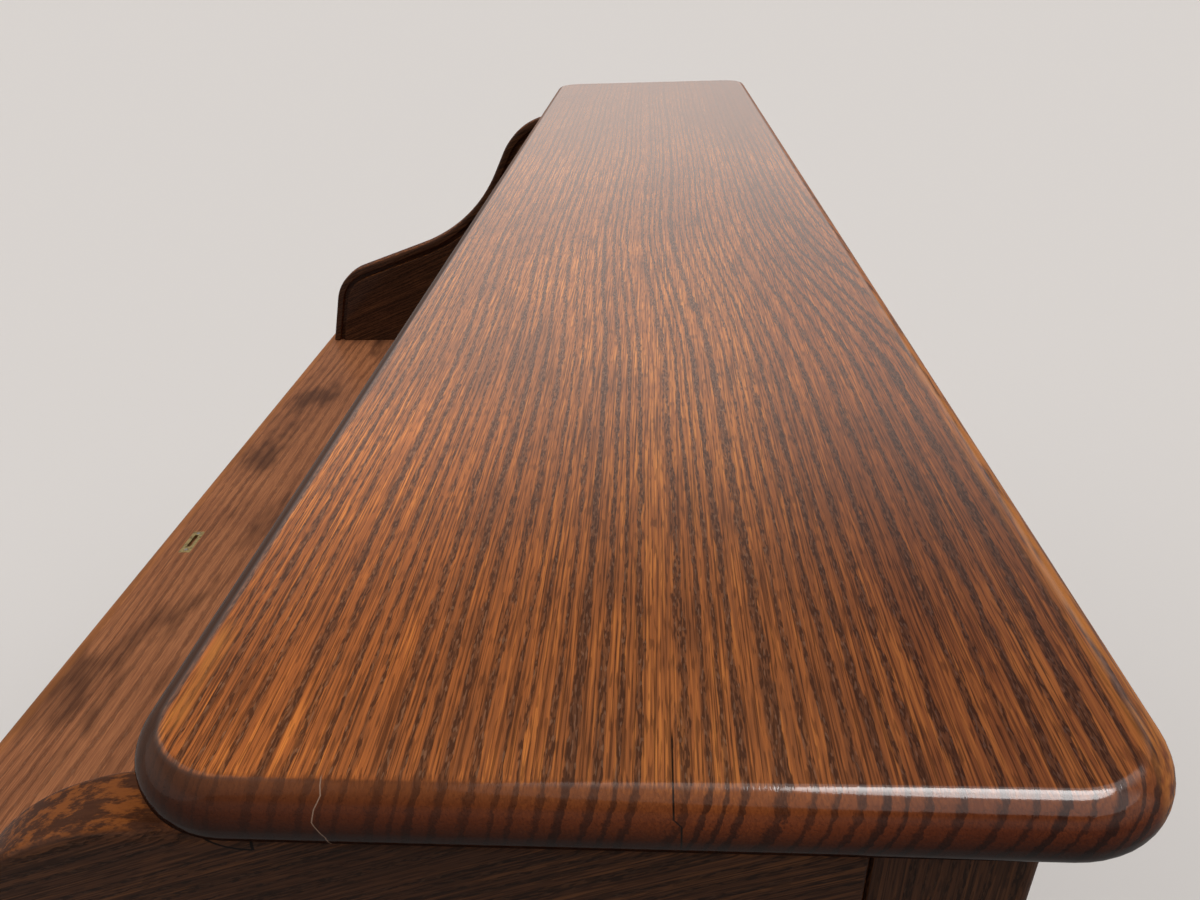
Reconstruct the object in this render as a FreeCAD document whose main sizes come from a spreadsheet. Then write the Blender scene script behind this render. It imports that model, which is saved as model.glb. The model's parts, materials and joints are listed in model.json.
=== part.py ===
"""S-roll tambour desk: top board, S-shaped ends, slatted roll, gallery, pedestals and drawers.

Millimetres. +Z is up, the front faces -Y, and the origin is on the floor under the middle of the desk.
"""
import FreeCAD
import Part
import Sketcher

import math
import os

from FreeCAD import Vector

doc = FreeCAD.newDocument("RollTopDesk")

# Driving sizes

SIZES = {
    "desk_depth": 804, "desk_height": 762, "desk_end_overhang": 8, "case_height": 458,
    "writing_top_thickness": 28, "writing_top_edge": 9, "writing_top_corner": 12,
    "top_length": 1508, "top_thickness": 24.5, "top_corner_radius": 38, "top_edge_land": 0.9,
    "panel_overhang": 23, "panel_thickness": 30, "panel_back_overhang": 32, "panel_edge_radius": 5,
    "stile_width": 54, "cleat_setback": 18, "board_edge": 1.5,
    "crest_reach": 3, "crest_drop": 45.5, "crest_radius": 110, "ramp_angle": 63, "ramp_length": 37.5,
    "hollow_radius": 264, "shoulder_angle": 19, "shoulder_length": 132, "nose_radius": 85.5, "lean_angle": 14,
    "nose_setback": 15.3, "pitch_inset": 21, "rest_angle": 4, "travel_slats": 4, "back_slats": 17,
    "slat_gap": 1.4,
    "slat_thickness": 12, "slat_edge": 6, "slat_end_gap": 0.4, "canvas_thickness": 0.9,
    "tongue_width": 12, "tongue_thickness": 6.5, "tongue_seat": 1.75, "tongue_length": 7,
    "groove_clearance": 0.75, "groove_end_gap": 0.4, "channel_inside": 2, "channel_outside": 12,
    "rail_thickness": 14, "rail_edge": 3,
    "lift_knob_spacing": 700, "lift_knob_radius": 11, "lift_knob_height": 16,
    "lock_offset": 16, "lock_length": 64, "lock_width": 31, "lock_thickness": 10,
    "bolt_length": 22, "bolt_width": 21,
    "bolt_thickness": 4, "bolt_clearance": 0.4, "key_radius": 3, "escutcheon_radius": 12,
    "escutcheon_thickness": 1.2,
    "strike_near_end": 13, "strike_far_end": 8, "strike_width": 15, "strike_thickness": 3, "slot_end_play": 2,
    "slot_side_play": 0.5, "strike_depth": 14, "strike_screw_radius": 2.3, "strike_screw_length": 12,
    "upper_back_thickness": 20, "field_thickness": 9, "frame_member": 70,
    "gallery_side_gap": 18, "gallery_head_gap": 28, "gallery_depth": 162, "gallery_gap": 16,
    "gallery_board": 11,
    "gallery_drawer_width": 300, "gallery_drawer_height": 82, "gallery_holes": 8, "gallery_knob_radius": 7,
    "gallery_knob_length": 15, "gallery_drawer_wall": 7,
    "pedestal_overhang": 22, "pedestal_front_overhang": 36, "pedestal_back_overhang": 17,
    "pedestal_end_thickness": 28, "pedestal_width": 420, "inner_side_thickness": 22, "drawer_bay_depth": 496,
    "plinth_height": 72, "plinth_reveal": 5, "plinth_thickness": 22, "floor_thickness": 18,
    "kneehole_back_thickness": 12, "end_member": 80,
    "rail_height": 20, "rail_depth": 60, "drawer_front_thickness": 22, "drawer_front_gap": 2,
    "drawer_front_edge": 3, "drawer_wall": 12, "drawer_floor": 9, "drawer_side_gap": 16, "drawer_back_gap": 12,
    "drawer_top_gap": 22, "top_drawer_height": 132, "middle_drawer_height": 196, "centre_drawer_height": 92,
    "runner_height": 16, "runner_gap": 0.3,
    "pull_radius": 17, "pull_length": 30, "pull_spacing": 210,
}

# Places and sizes that follow from the driving ones

PLACES = {
    "total_height": "desk_height + case_height",
    "desk_width": "top_length + 2 * desk_end_overhang",
    "top_under": "total_height - top_thickness",
    "top_edge_radius": "( top_thickness - top_edge_land ) / 2",
    "crest_top": "total_height - crest_drop",
    "crest_z": "crest_top - crest_radius",
    "round_fall": (
        "crest_radius * ( 1 - cos( ramp_angle ) ) + ramp_length * sin( ramp_angle )"
        " + hollow_radius * ( cos( shoulder_angle ) - cos( ramp_angle ) )"
        " + shoulder_length * sin( shoulder_angle )"
        " + nose_radius * ( cos( shoulder_angle ) - sin( lean_angle ) )"
    ),
    "lean_fall": "crest_top - desk_height - ( round_fall )",
    "s_reach": (
        "crest_radius * sin( ramp_angle ) + ramp_length * cos( ramp_angle )"
        " + hollow_radius * ( sin( ramp_angle ) - sin( shoulder_angle ) )"
        " + shoulder_length * cos( shoulder_angle )"
        " + nose_radius * ( cos( lean_angle ) - sin( shoulder_angle ) )"
        " + ( lean_fall ) * tan( lean_angle )"
    ),
    "crest_y": "nose_setback - desk_depth / 2 + s_reach",
    "top_front": "crest_y + crest_reach",
    "top_width": "desk_depth / 2 - ( top_front )",
    "top_middle": "( desk_depth / 2 + top_front ) / 2",
    "panel_outer": "top_length / 2 - panel_overhang",
    "panel_inner": "panel_outer - panel_thickness",
    "panel_back": "desk_depth / 2 - panel_back_overhang",
    "stile_front": "panel_back - stile_width",
    "cleat_front": "top_front + cleat_setback",
    "pitch_radius": "crest_radius - pitch_inset",
    "roll_y": "crest_y + pitch_radius",
    "slat_half": "panel_inner - slat_end_gap",
    "groove_depth": "tongue_length - slat_end_gap + groove_end_gap",
    "roll_slot_half": "panel_inner + groove_depth",
    "top_seat": "desk_height - writing_top_thickness",
    "strike_slot_length": "bolt_length + 2 * slot_end_play",
    "strike_slot_x": "0 - lock_offset - ( strike_slot_length ) / 2",
    "strike_x": "strike_slot_x - strike_far_end",
    "strike_length": "strike_far_end + strike_slot_length + strike_near_end",
    "strike_slot_width": "bolt_thickness + 2 * slot_side_play",
    "upper_back_front": "panel_back - upper_back_thickness - field_thickness",
    "gallery_back": "roll_y - gallery_gap",
    "gallery_face": "gallery_back - gallery_depth",
    "gallery_height": "crest_z - gallery_head_gap - desk_height",
    "gallery_width": "2 * ( panel_inner - gallery_side_gap )",
    "gallery_floor": "desk_height + gallery_board",
    "gallery_shelf_z": "gallery_floor + gallery_drawer_height",
    "gallery_inside": "gallery_width / 2 - gallery_board",
    "pedestal_outer": "desk_width / 2 - pedestal_overhang",
    "pedestal_end_inner": "pedestal_outer - pedestal_end_thickness",
    "pedestal_inner": "pedestal_outer - pedestal_width",
    "bay_inner": "pedestal_inner + inner_side_thickness",
    "bay_width": "pedestal_end_inner - bay_inner",
    "pedestal_front": "pedestal_front_overhang - desk_depth / 2",
    "pedestal_back": "desk_depth / 2 - pedestal_back_overhang",
    "pedestal_depth": "pedestal_back - pedestal_front",
    "pedestal_height": "top_seat - plinth_height",
    "bay_back": "pedestal_front + drawer_bay_depth",
    "bay_floor": "plinth_height + floor_thickness",
    "top_drawer_z": "top_seat - rail_height - top_drawer_height",
    "middle_drawer_z": "top_drawer_z - rail_height - middle_drawer_height",
    "bottom_drawer_height": "middle_drawer_z - rail_height - bay_floor",
    "file_drawer_height": "top_drawer_z - rail_height - bay_floor",
    "centre_drawer_z": "top_seat - centre_drawer_height - drawer_front_gap",
    "centre_drawer_width": "2 * pedestal_inner",
}

sheet = doc.addObject("Spreadsheet::Sheet", "Sizes")
for row, (alias, number) in enumerate(SIZES.items(), start=1):
    sheet.set(f"A{row}", alias)
    sheet.set(f"B{row}", str(number))
    sheet.setAlias(f"B{row}", alias)
doc.recompute()


def bound(text):
    """The expression for a text of size and place names, with every name traced back to the sheet."""
    words = text.split(" ")
    for index, word in enumerate(words):
        name = word.strip("()")
        if name in PLACES:
            words[index] = word.replace(name, f"({bound(PLACES[name])})")
        elif name in SIZES:
            words[index] = word.replace(name, f"Sizes.{name}")
    return " ".join(words)


def size(text):
    """The number that a text of size and place names stands for now."""
    return float(sheet.evalExpression(bound(text)))


# Ways of making a piece

NODES = []


def node(item, label):
    """Mark a document object as a finished sub-part under its own name."""
    item.Label = label
    NODES.append(item)
    return item


def block(name, extent, low):
    """A box whose three sizes and lowest corner are bound to the sheet."""
    box = doc.addObject("Part::Box", name)
    for side, text in zip(("Length", "Width", "Height"), extent):
        box.setExpression(side, bound(text))
    for axis, text in zip("xyz", low):
        box.setExpression(f"Placement.Base.{axis}", bound(text))
    return box


def eased(box, radius="board_edge"):
    """The box with all its edges rounded, as a planed board has them."""
    doc.recompute()
    soft = doc.addObject("Part::Fillet", box.Name + "_eased")
    soft.Base = box
    soft.Edges = [(index, size(radius), size(radius)) for index in range(1, len(box.Shape.Edges) + 1)]
    return soft


def board(label, extent, low, radius="board_edge"):
    """A node that is one planed board."""
    return node(eased(block(label + "_blank", extent, low), radius), label)


def group(label, items):
    """A node that is a set of like pieces."""
    compound = doc.addObject("Part::Compound", label + "_set")
    compound.Links = items
    return node(compound, label)


def cut(name, base, tools):
    """The base with the tools taken out of it."""
    tool = tools[0]
    if len(tools) > 1:
        tool = doc.addObject("Part::Compound", name + "_tools")
        tool.Links = tools
    result = doc.addObject("Part::Cut", name)
    result.Base = base
    result.Tool = tool
    return result


def solid(name, shape, label=None):
    """A document object for a shape that no primitive gives, as a node where it has a label."""
    item = doc.addObject("Part::Feature", name)
    item.Shape = shape
    if label:
        node(item, label)
    return item


def extrude(points_and_edges, start, length):
    """A closed outline in the YZ plane, moved to x = start and extruded along X."""
    face = Part.Face(Part.Wire(points_and_edges))
    face.translate(Vector(start, 0, 0))
    return face.extrude(Vector(length, 0, 0))


def at(y, z):
    """A point of the YZ plane."""
    return Vector(0, y, z)


def line(first, last):
    """A straight edge."""
    return Part.LineSegment(first, last).toShape()


def arc(first, middle, last):
    """A round edge through three points."""
    return Part.Arc(first, middle, last).toShape()


def mirrored(shape):
    """The shape's twin on the other side of the desk."""
    return shape.mirror(Vector(0, 0, 0), Vector(1, 0, 0))


def turned(profile, origin, axis):
    """A turned piece: a list of (radius, height) corners spun about an axis that leaves the origin."""
    corners = [Vector(radius, 0, height) for radius, height in profile]
    closed = [Vector(0, 0, profile[0][1])] + corners + [Vector(0, 0, profile[-1][1])]
    outline = Part.makePolygon(closed + [closed[0]])
    shape = Part.Face(outline).revolve(Vector(0, 0, 0), Vector(0, 0, 1), 360)
    shape.Placement = FreeCAD.Placement(origin, FreeCAD.Rotation(Vector(0, 0, 1), axis))
    return shape


# A knob's shape from its foot to its face, as shares of its radius and of its length
KNOB_SHARES = (
    (0.72, 0), (0.72, 0.1), (0.52, 0.18), (0.5, 0.36), (0.62, 0.46), (0.86, 0.56), (1, 0.7), (0.97, 0.82),
    (0.84, 0.92), (0.5, 1),
)


def knob_profile(radius, length):
    """The corners of a knob of this radius and length, for turning."""
    return [(size(radius) * wide, size(length) * high) for wide, high in KNOB_SHARES]


# The S outline of the end panels

CREST = at(size("crest_y"), size("crest_z"))


def heading(angle):
    """The direction of the S where it falls forward at an angle, in degrees."""
    return at(-math.cos(math.radians(angle)), -math.sin(math.radians(angle)))


def inward(angle):
    """The direction into the panel where the S falls forward at an angle."""
    return at(math.sin(math.radians(angle)), -math.cos(math.radians(angle)))


def s_outline(inset):
    """The S from the crest to the writing top, as tangent edges moved into the panel by inset."""
    ramp = size("ramp_angle")
    shoulder = size("shoulder_angle")
    front = 90 - size("lean_angle")

    def on(centre, radius, angle):
        return centre - inward(angle) * radius

    crest = size("crest_radius") - inset
    hollow = -(size("hollow_radius") + inset)
    nose = size("nose_radius") - inset
    ramp_top = on(CREST, crest, ramp)
    ramp_foot = ramp_top + heading(ramp) * size("ramp_length")
    hollow_centre = ramp_foot + inward(ramp) * hollow
    shoulder_top = on(hollow_centre, hollow, shoulder)
    shoulder_foot = shoulder_top + heading(shoulder) * size("shoulder_length")
    nose_centre = shoulder_foot + inward(shoulder) * nose
    nose_foot = on(nose_centre, nose, front)
    drop = (nose_foot.z - size("desk_height")) / math.sin(math.radians(front))
    return [
        arc(on(CREST, crest, 0), on(CREST, crest, ramp / 2), ramp_top),
        line(ramp_top, ramp_foot),
        arc(ramp_foot, on(hollow_centre, hollow, (ramp + shoulder) / 2), shoulder_top),
        line(shoulder_top, shoulder_foot),
        arc(shoulder_foot, on(nose_centre, nose, (shoulder + front) / 2), nose_foot),
        line(nose_foot, nose_foot + heading(front) * drop),
    ]


def end_point(edges):
    """The S outline's foot."""
    return edges[-1].lastVertex(True).Point


def start_point(edges):
    """The S outline's top."""
    return edges[0].firstVertex(True).Point


def end_panel():
    """The right end panel: the S, the square back part and the groove that the roll runs in."""
    outline = s_outline(0)
    foot = end_point(outline)
    top = start_point(outline)
    back = size("stile_front")
    low = size("desk_height")
    inner = size("panel_inner")
    thickness = size("panel_thickness")
    sides = [
        line(foot, at(back, low)),
        line(at(back, low), at(back, top.z)),
        line(at(back, top.z), top),
    ]
    panel = extrude(outline + sides, inner, thickness)
    along = [
        edge for edge in panel.Edges
        if edge.BoundBox.XLength < 1e-6 and edge.BoundBox.ZMax > low + 1 and edge.BoundBox.YMin < back - 1
    ]
    panel = panel.makeFillet(size("panel_edge_radius"), along)
    depth = size("groove_depth")
    return panel.cut(visible_groove(inner, depth)).cut(hidden_groove(inner, depth))


def visible_groove(start, depth):
    """The groove along the S, as wide as a slat's tongue and its clearance."""
    near = size("pitch_inset - tongue_seat - tongue_thickness - groove_clearance")
    far = size("pitch_inset - tongue_seat + groove_clearance")
    outer = s_outline(near)
    inner = s_outline(far)
    ends = [line(end_point(outer), end_point(inner)), line(start_point(inner), start_point(outer))]
    return extrude(Part.__sortEdges__(outer + inner + ends), start, depth)


def hidden_groove(start, depth):
    """The wider channel that turns down behind the gallery, where the slats leave the round part."""
    small = size("pitch_radius - channel_inside")
    large = size("pitch_radius + channel_outside")
    low = size("desk_height")
    lean = math.sqrt(0.5)

    def ring(radius, y_share, z_share):
        return CREST + at(radius * y_share, radius * z_share)

    def foot(radius):
        return at(CREST.y + radius, low)

    edges = [
        arc(ring(large, 0, 1), ring(large, lean, lean), ring(large, 1, 0)),
        line(ring(large, 1, 0), foot(large)),
        line(foot(large), foot(small)),
        line(foot(small), ring(small, 1, 0)),
        arc(ring(small, 1, 0), ring(small, lean, lean), ring(small, 0, 1)),
        line(ring(small, 0, 1), ring(large, 0, 1)),
    ]
    return extrude(edges, start, depth)


# Top board and writing top, as padded sketches with rounded edges

def plank(label, length, width, thickness, place, corner, edge):
    """A board body: a centred rectangle, padded, with rounded corners and edges."""
    body = doc.addObject("PartDesign::Body", label + "_body")
    plane = next(item for item in body.Origin.OriginFeatures if item.Role == "XY_Plane")
    sketch = body.newObject("Sketcher::SketchObject", label + "_outline")
    sketch.AttachmentSupport = [(plane, "")]
    sketch.MapMode = "FlatFace"
    half_length = size(length) / 2
    half_width = size(width) / 2
    corners = [
        Vector(-half_length, -half_width, 0), Vector(half_length, -half_width, 0),
        Vector(half_length, half_width, 0), Vector(-half_length, half_width, 0),
    ]
    for index in range(4):
        sketch.addGeometry(Part.LineSegment(corners[index], corners[(index + 1) % 4]), False)
    for index in range(4):
        sketch.addConstraint(Sketcher.Constraint("Coincident", index, 2, (index + 1) % 4, 1))
    for index in (0, 2):
        sketch.addConstraint(Sketcher.Constraint("Horizontal", index))
        sketch.addConstraint(Sketcher.Constraint("Vertical", index + 1))
    sketch.addConstraint(Sketcher.Constraint("Symmetric", 0, 1, 1, 2, -1, 1))
    for text, side in ((length, 0), (width, 1)):
        made = sketch.addConstraint(Sketcher.Constraint("Distance", side, size(text)))
        sketch.setExpression(f"Constraints[{made}]", bound(text))
    pad = body.newObject("PartDesign::Pad", label + "_pad")
    pad.Profile = sketch
    pad.setExpression("Length", bound(thickness))
    doc.recompute()
    upright = [
        f"Edge{index}" for index, item in enumerate(pad.Shape.Edges, start=1)
        if item.BoundBox.ZLength > size(thickness) / 2
    ]
    rounded = body.newObject("PartDesign::Fillet", label + "_corners")
    rounded.Base = (pad, upright)
    rounded.setExpression("Radius", bound(corner))
    doc.recompute()
    flat = [
        f"Face{index}" for index, item in enumerate(rounded.Shape.Faces, start=1)
        if item.BoundBox.ZLength < 1e-6
    ]
    soft = body.newObject("PartDesign::Fillet", label + "_edges")
    soft.Base = (rounded, flat)
    soft.setExpression("Radius", bound(edge))
    body.Tip = soft
    for axis, text in zip("xyz", place):
        body.setExpression(f"Placement.Base.{axis}", bound(text))
    doc.recompute()
    return body


node(
    plank(
        "top_board", "top_length", "top_width", "top_thickness",
        ("0", "top_middle", "top_under"), "top_corner_radius", "top_edge_radius",
    ),
    "top_board",
)

STRIKE_Y = end_point(s_outline(size("pitch_inset + lock_thickness / 2"))).y
writing_blank = plank(
    "writing_top", "desk_width", "desk_depth", "writing_top_thickness",
    ("0", "0", "top_seat"), "writing_top_corner", "writing_top_edge",
)
roll_slot = block(
    "roll_slot",
    ("2 * roll_slot_half", "channel_inside + channel_outside", "writing_top_thickness"),
    ("0 - roll_slot_half", "roll_y - channel_inside", "top_seat"),
)
strike_recess = block(
    "strike_recess",
    ("strike_length", "strike_width", "strike_thickness"),
    ("strike_x", f"{STRIKE_Y} - strike_width / 2", "desk_height - strike_thickness"),
)
bolt_pocket = block(
    "bolt_pocket",
    ("strike_slot_length", "strike_slot_width", "strike_depth"),
    ("strike_slot_x", f"{STRIKE_Y} - strike_slot_width / 2", "desk_height - strike_depth"),
)


SCREW_PLACES = (
    ("far", "strike_x + strike_far_end / 2"),
    ("near", "strike_slot_x + strike_slot_length + strike_near_end / 2"),
)


def strike_screws(name):
    """The two screws of the strike plate, or the holes for them."""
    shanks = []
    for end, place in SCREW_PLACES:
        shank = doc.addObject("Part::Cylinder", f"{name}_{end}")
        shank.setExpression("Radius", bound("strike_screw_radius"))
        shank.setExpression("Height", bound("strike_screw_length"))
        shank.setExpression("Placement.Base.x", bound(place))
        shank.setExpression("Placement.Base.y", f"{STRIKE_Y}")
        shank.setExpression("Placement.Base.z", bound("desk_height - strike_screw_length"))
        shanks.append(shank)
    return shanks


screw_holes = strike_screws("screw_hole")
node(cut("writing_top", writing_blank, [roll_slot, strike_recess, bolt_pocket] + screw_holes), "writing_top")

plate_blank = block(
    "strike_blank",
    ("strike_length", "strike_width", "strike_thickness"),
    ("strike_x", f"{STRIKE_Y} - strike_width / 2", "desk_height - strike_thickness"),
)
node(cut("strike_plate", plate_blank, [bolt_pocket] + screw_holes), "strike_plate")
group("strike_screws", strike_screws("strike_screw"))

# Ends of the roll's case

PANEL = end_panel()
solid("right_panel", PANEL, "right_end_panel")
solid("left_panel", mirrored(PANEL), "left_end_panel")
for side, low in (("left", "0 - panel_outer"), ("right", "panel_inner")):
    board(
        f"{side}_back_stile",
        ("panel_thickness", "stile_width", "top_under - desk_height"),
        (low, "stile_front", "desk_height"),
        "panel_edge_radius",
    )
group(
    "top_cleats",
    [
        eased(block(
            f"top_cleat_{side}",
            ("panel_thickness - 2 * panel_edge_radius", "stile_front - cleat_front", "top_under - crest_top"),
            (low, "cleat_front", "crest_top"),
        ))
        for side, low in (
            ("left", "0 - panel_outer + panel_edge_radius"), ("right", "panel_inner + panel_edge_radius"),
        )
    ],
)


def framed(name, extent, low, along, members, count):
    """A frame of stiles and rails with a row of windows.

    along is 0 for a frame that runs along X and 1 for one that runs along Y, and members is the frame's width.
    """
    frame = block(name + "_blank", extent, low)
    windows = []
    for index in range(count):
        span = f"( {extent[along]} - ( {count} + 1 ) * {members} ) / {count}"
        offset = f"{low[along]} + {members} + {index} * ( {span} + {members} )"
        window_extent = list(extent)
        window_extent[along] = span
        window_extent[2] = f"{extent[2]} - 2 * {members}"
        window_low = list(low)
        window_low[along] = offset
        window_low[2] = f"{low[2]} + {members}"
        windows.append(block(f"{name}_window_{index}", window_extent, window_low))
    return cut(name, frame, windows)


node(
    framed(
        "upper_back_frame", ("2 * panel_inner", "upper_back_thickness", "top_under - desk_height"),
        ("0 - panel_inner", "panel_back - upper_back_thickness", "desk_height"), 0, "frame_member", 3,
    ),
    "upper_back_frame",
)
board(
    "upper_back_panel",
    ("2 * panel_inner", "field_thickness", "top_under - desk_height"),
    ("0 - panel_inner", "upper_back_front", "desk_height"),
)

# The roll: lift rail, slats and canvas

TRAVEL_ANGLE = math.radians(size("ramp_angle - rest_angle"))
TRAVEL = size("pitch_radius") * TRAVEL_ANGLE
COUNT = int(size("travel_slats"))
PITCH = TRAVEL / COUNT
RAIL_PITCH = size("pitch_radius") * (math.pi / 2 + math.radians(size("rest_angle"))) - TRAVEL


class Station:
    """A place on the roll's path, at a distance from where it turns down, counted towards the front."""

    def __init__(self, distance):
        turn = max(distance, 0) / size("pitch_radius")
        self.along = at(-math.sin(turn), math.cos(turn))
        self.out = at(math.cos(turn), math.sin(turn))
        self.point = CREST + self.out * size("pitch_radius") + at(0, min(distance, 0))

    def place(self, along, out):
        """A point of the piece, by its distance along the path and out from the canvas."""
        return self.point + self.along * along + self.out * out


def bar(station, along, out, start, length):
    """A square bar across the desk: its reach along the path and out from the canvas."""
    corners = [
        station.place(along[0], out[0]), station.place(along[1], out[0]),
        station.place(along[1], out[1]), station.place(along[0], out[1]),
    ]
    edges = [line(corners[index], corners[(index + 1) % 4]) for index in range(4)]
    return extrude(edges, start, length)


def tongues(station):
    """The two tongues that run in the grooves."""
    half = size("tongue_width") / 2
    reach = (size("tongue_seat"), size("tongue_seat + tongue_thickness"))
    length = size("tongue_length")
    return [
        bar(station, (-half, half), reach, side * size("slat_half"), side * length)
        for side in (-1, 1)
    ]


def slat(distance):
    """One slat with a round face, whose middle stands at a distance along the path."""
    station = Station(distance)
    half = (PITCH - size("slat_gap")) / 2
    edge = size("slat_edge")
    corners = [
        station.place(half, edge), station.place(half, 0), station.place(-half, 0), station.place(-half, edge),
    ]
    edges = [line(corners[index], corners[index + 1]) for index in range(3)]
    edges.append(arc(corners[3], station.place(0, size("slat_thickness")), corners[0]))
    body = extrude(edges, -size("slat_half"), 2 * size("slat_half"))
    return body.fuse(tongues(station)).removeSplitter()


solid("front_slats_set", Part.makeCompound([slat((k + 0.5) * PITCH) for k in range(COUNT)]), "front_slats")
for k in range(COUNT):
    solid(f"turning_slat_{k + 1}_piece", slat(-(k + 0.5) * PITCH), f"turning_slat_{k + 1}")
BACK = int(size("back_slats"))
solid(
    "back_slats_set",
    Part.makeCompound([slat(-(COUNT + k + 0.5) * PITCH) for k in range(BACK)]),
    "back_slats",
)

RAIL = Station(COUNT * PITCH + RAIL_PITCH / 2)
RAIL_HALF = (RAIL_PITCH - size("slat_gap")) / 2
rail_blank = bar(
    RAIL, (-RAIL_HALF, RAIL_HALF), (0, size("rail_thickness")), -size("slat_half"), 2 * size("slat_half"),
)
long_edges = [edge for edge in rail_blank.Edges if edge.BoundBox.XLength > size("slat_half")]
rail_blank = rail_blank.makeFillet(size("rail_edge"), long_edges)
KEY = RAIL.place(RAIL_HALF / 3, 0) - Vector(size("lock_offset"), 0, 0)
key_hole = Part.makeCylinder(size("key_radius"), size("rail_thickness"), KEY, RAIL.out)
solid("lift_rail_piece", rail_blank.fuse(tongues(RAIL)).removeSplitter().cut(key_hole), "lift_rail")

solid(
    "lift_knobs_set",
    Part.makeCompound([
        turned(
            knob_profile("lift_knob_radius", "lift_knob_height"),
            RAIL.place(0, size("rail_thickness")) + Vector(side * size("lift_knob_spacing") / 2, 0, 0),
            RAIL.out,
        )
        for side in (-1, 1)
    ]),
    "lift_knobs",
)


def lock_bar(along, out, length):
    """A square piece of the lock, centred on the key."""
    return bar(RAIL, along, out, KEY.x - length / 2, length)


LOCK_FRONT = RAIL_HALF - size("board_edge")
LOCK_BACK = LOCK_FRONT - size("lock_width")
BOLT_OUT = (-size("lock_thickness + bolt_thickness") / 2, -size("lock_thickness - bolt_thickness") / 2)
BOLT_BACK = LOCK_FRONT - size("bolt_width")
play = size("bolt_clearance")
lock_body = lock_bar((LOCK_BACK, LOCK_FRONT), (-size("lock_thickness"), 0), size("lock_length"))
bolt_way = lock_bar(
    (BOLT_BACK - play, LOCK_FRONT), (BOLT_OUT[0] - play, BOLT_OUT[1] + play), size("bolt_length") + 2 * play,
)
solid("lock_case_piece", lock_body.cut(bolt_way), "lock_case")
solid(
    "lock_bolt_piece",
    lock_bar((BOLT_BACK, LOCK_FRONT), BOLT_OUT, size("bolt_length")),
    "lock_bolt",
)
escutcheon = Part.makeCylinder(
    size("escutcheon_radius"), size("escutcheon_thickness"), KEY + RAIL.out * size("rail_thickness"), RAIL.out,
)
escutcheon = escutcheon.cut(
    Part.makeCylinder(size("key_radius"), 2 * size("rail_thickness"), KEY, RAIL.out),
)
solid("escutcheon_piece", escutcheon, "key_escutcheon")


def canvas_strip(first, last):
    """The canvas under a run of slats on the straight part of the path."""
    low = Station(last)
    return bar(
        low, (0, first - last), (-size("canvas_thickness"), 0),
        -size("slat_half - tongue_length"), 2 * size("slat_half - tongue_length"),
    )


def canvas_arc():
    """The canvas under the slats that stay on the round part of the path."""
    outer = size("pitch_radius")
    inner = outer - size("canvas_thickness")
    stations = [Station(COUNT * PITCH * share) for share in (0, 0.5, 1)]
    flat = math.cos(PITCH / outer / 2)
    outside = [CREST + item.out * outer * flat for item in stations]
    inside = [CREST + item.out * inner * flat for item in stations]
    edges = [
        arc(*outside), line(outside[2], inside[2]), arc(*reversed(inside)), line(inside[0], outside[0]),
    ]
    return extrude(edges, -size("slat_half - tongue_length"), 2 * size("slat_half - tongue_length"))


solid("front_canvas_strip", canvas_arc(), "front_canvas")
solid("back_canvas_strip", canvas_strip(-COUNT * PITCH, -(COUNT + BACK) * PITCH), "back_canvas")

# Gallery of pigeonholes with two small drawers

gallery_shell = cut(
    "gallery_shell",
    block(
        "gallery_blank", ("gallery_width", "gallery_depth", "gallery_height"),
        ("0 - gallery_width / 2", "gallery_face", "desk_height"),
    ),
    [block(
        "gallery_hollow",
        ("2 * gallery_inside", "gallery_depth - gallery_board", "gallery_height - 2 * gallery_board"),
        ("0 - gallery_inside", "gallery_face", "gallery_floor"),
    )],
)
node(gallery_shell, "gallery_case")
board(
    "gallery_shelf",
    ("2 * gallery_inside", "gallery_depth - gallery_board", "gallery_board"),
    ("0 - gallery_inside", "gallery_face", "gallery_shelf_z"),
)
HOLES = int(size("gallery_holes"))
HOLE = f"( ( 2 * gallery_inside - ( {HOLES} - 1 ) * gallery_board ) / {HOLES} )"
partitions = [
    block(
        f"partition_{index}",
        ("gallery_board", "gallery_depth - gallery_board",
         "desk_height + gallery_height - 2 * gallery_board - gallery_shelf_z"),
        (f"0 - gallery_inside + {index} * {HOLE} + ( {index} - 1 ) * gallery_board",
         "gallery_face", "gallery_shelf_z + gallery_board"),
    )
    for index in range(1, HOLES)
]
partitions += [
    block(
        f"drawer_partition_{side}",
        ("gallery_board", "gallery_depth - gallery_board", "gallery_drawer_height"),
        (low, "gallery_face", "gallery_floor"),
    )
    for side, low in (
        ("left", "0 - gallery_inside + gallery_drawer_width"),
        ("right", "gallery_inside - gallery_drawer_width - gallery_board"),
    )
]
group("gallery_partitions", [eased(item) for item in partitions])

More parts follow.
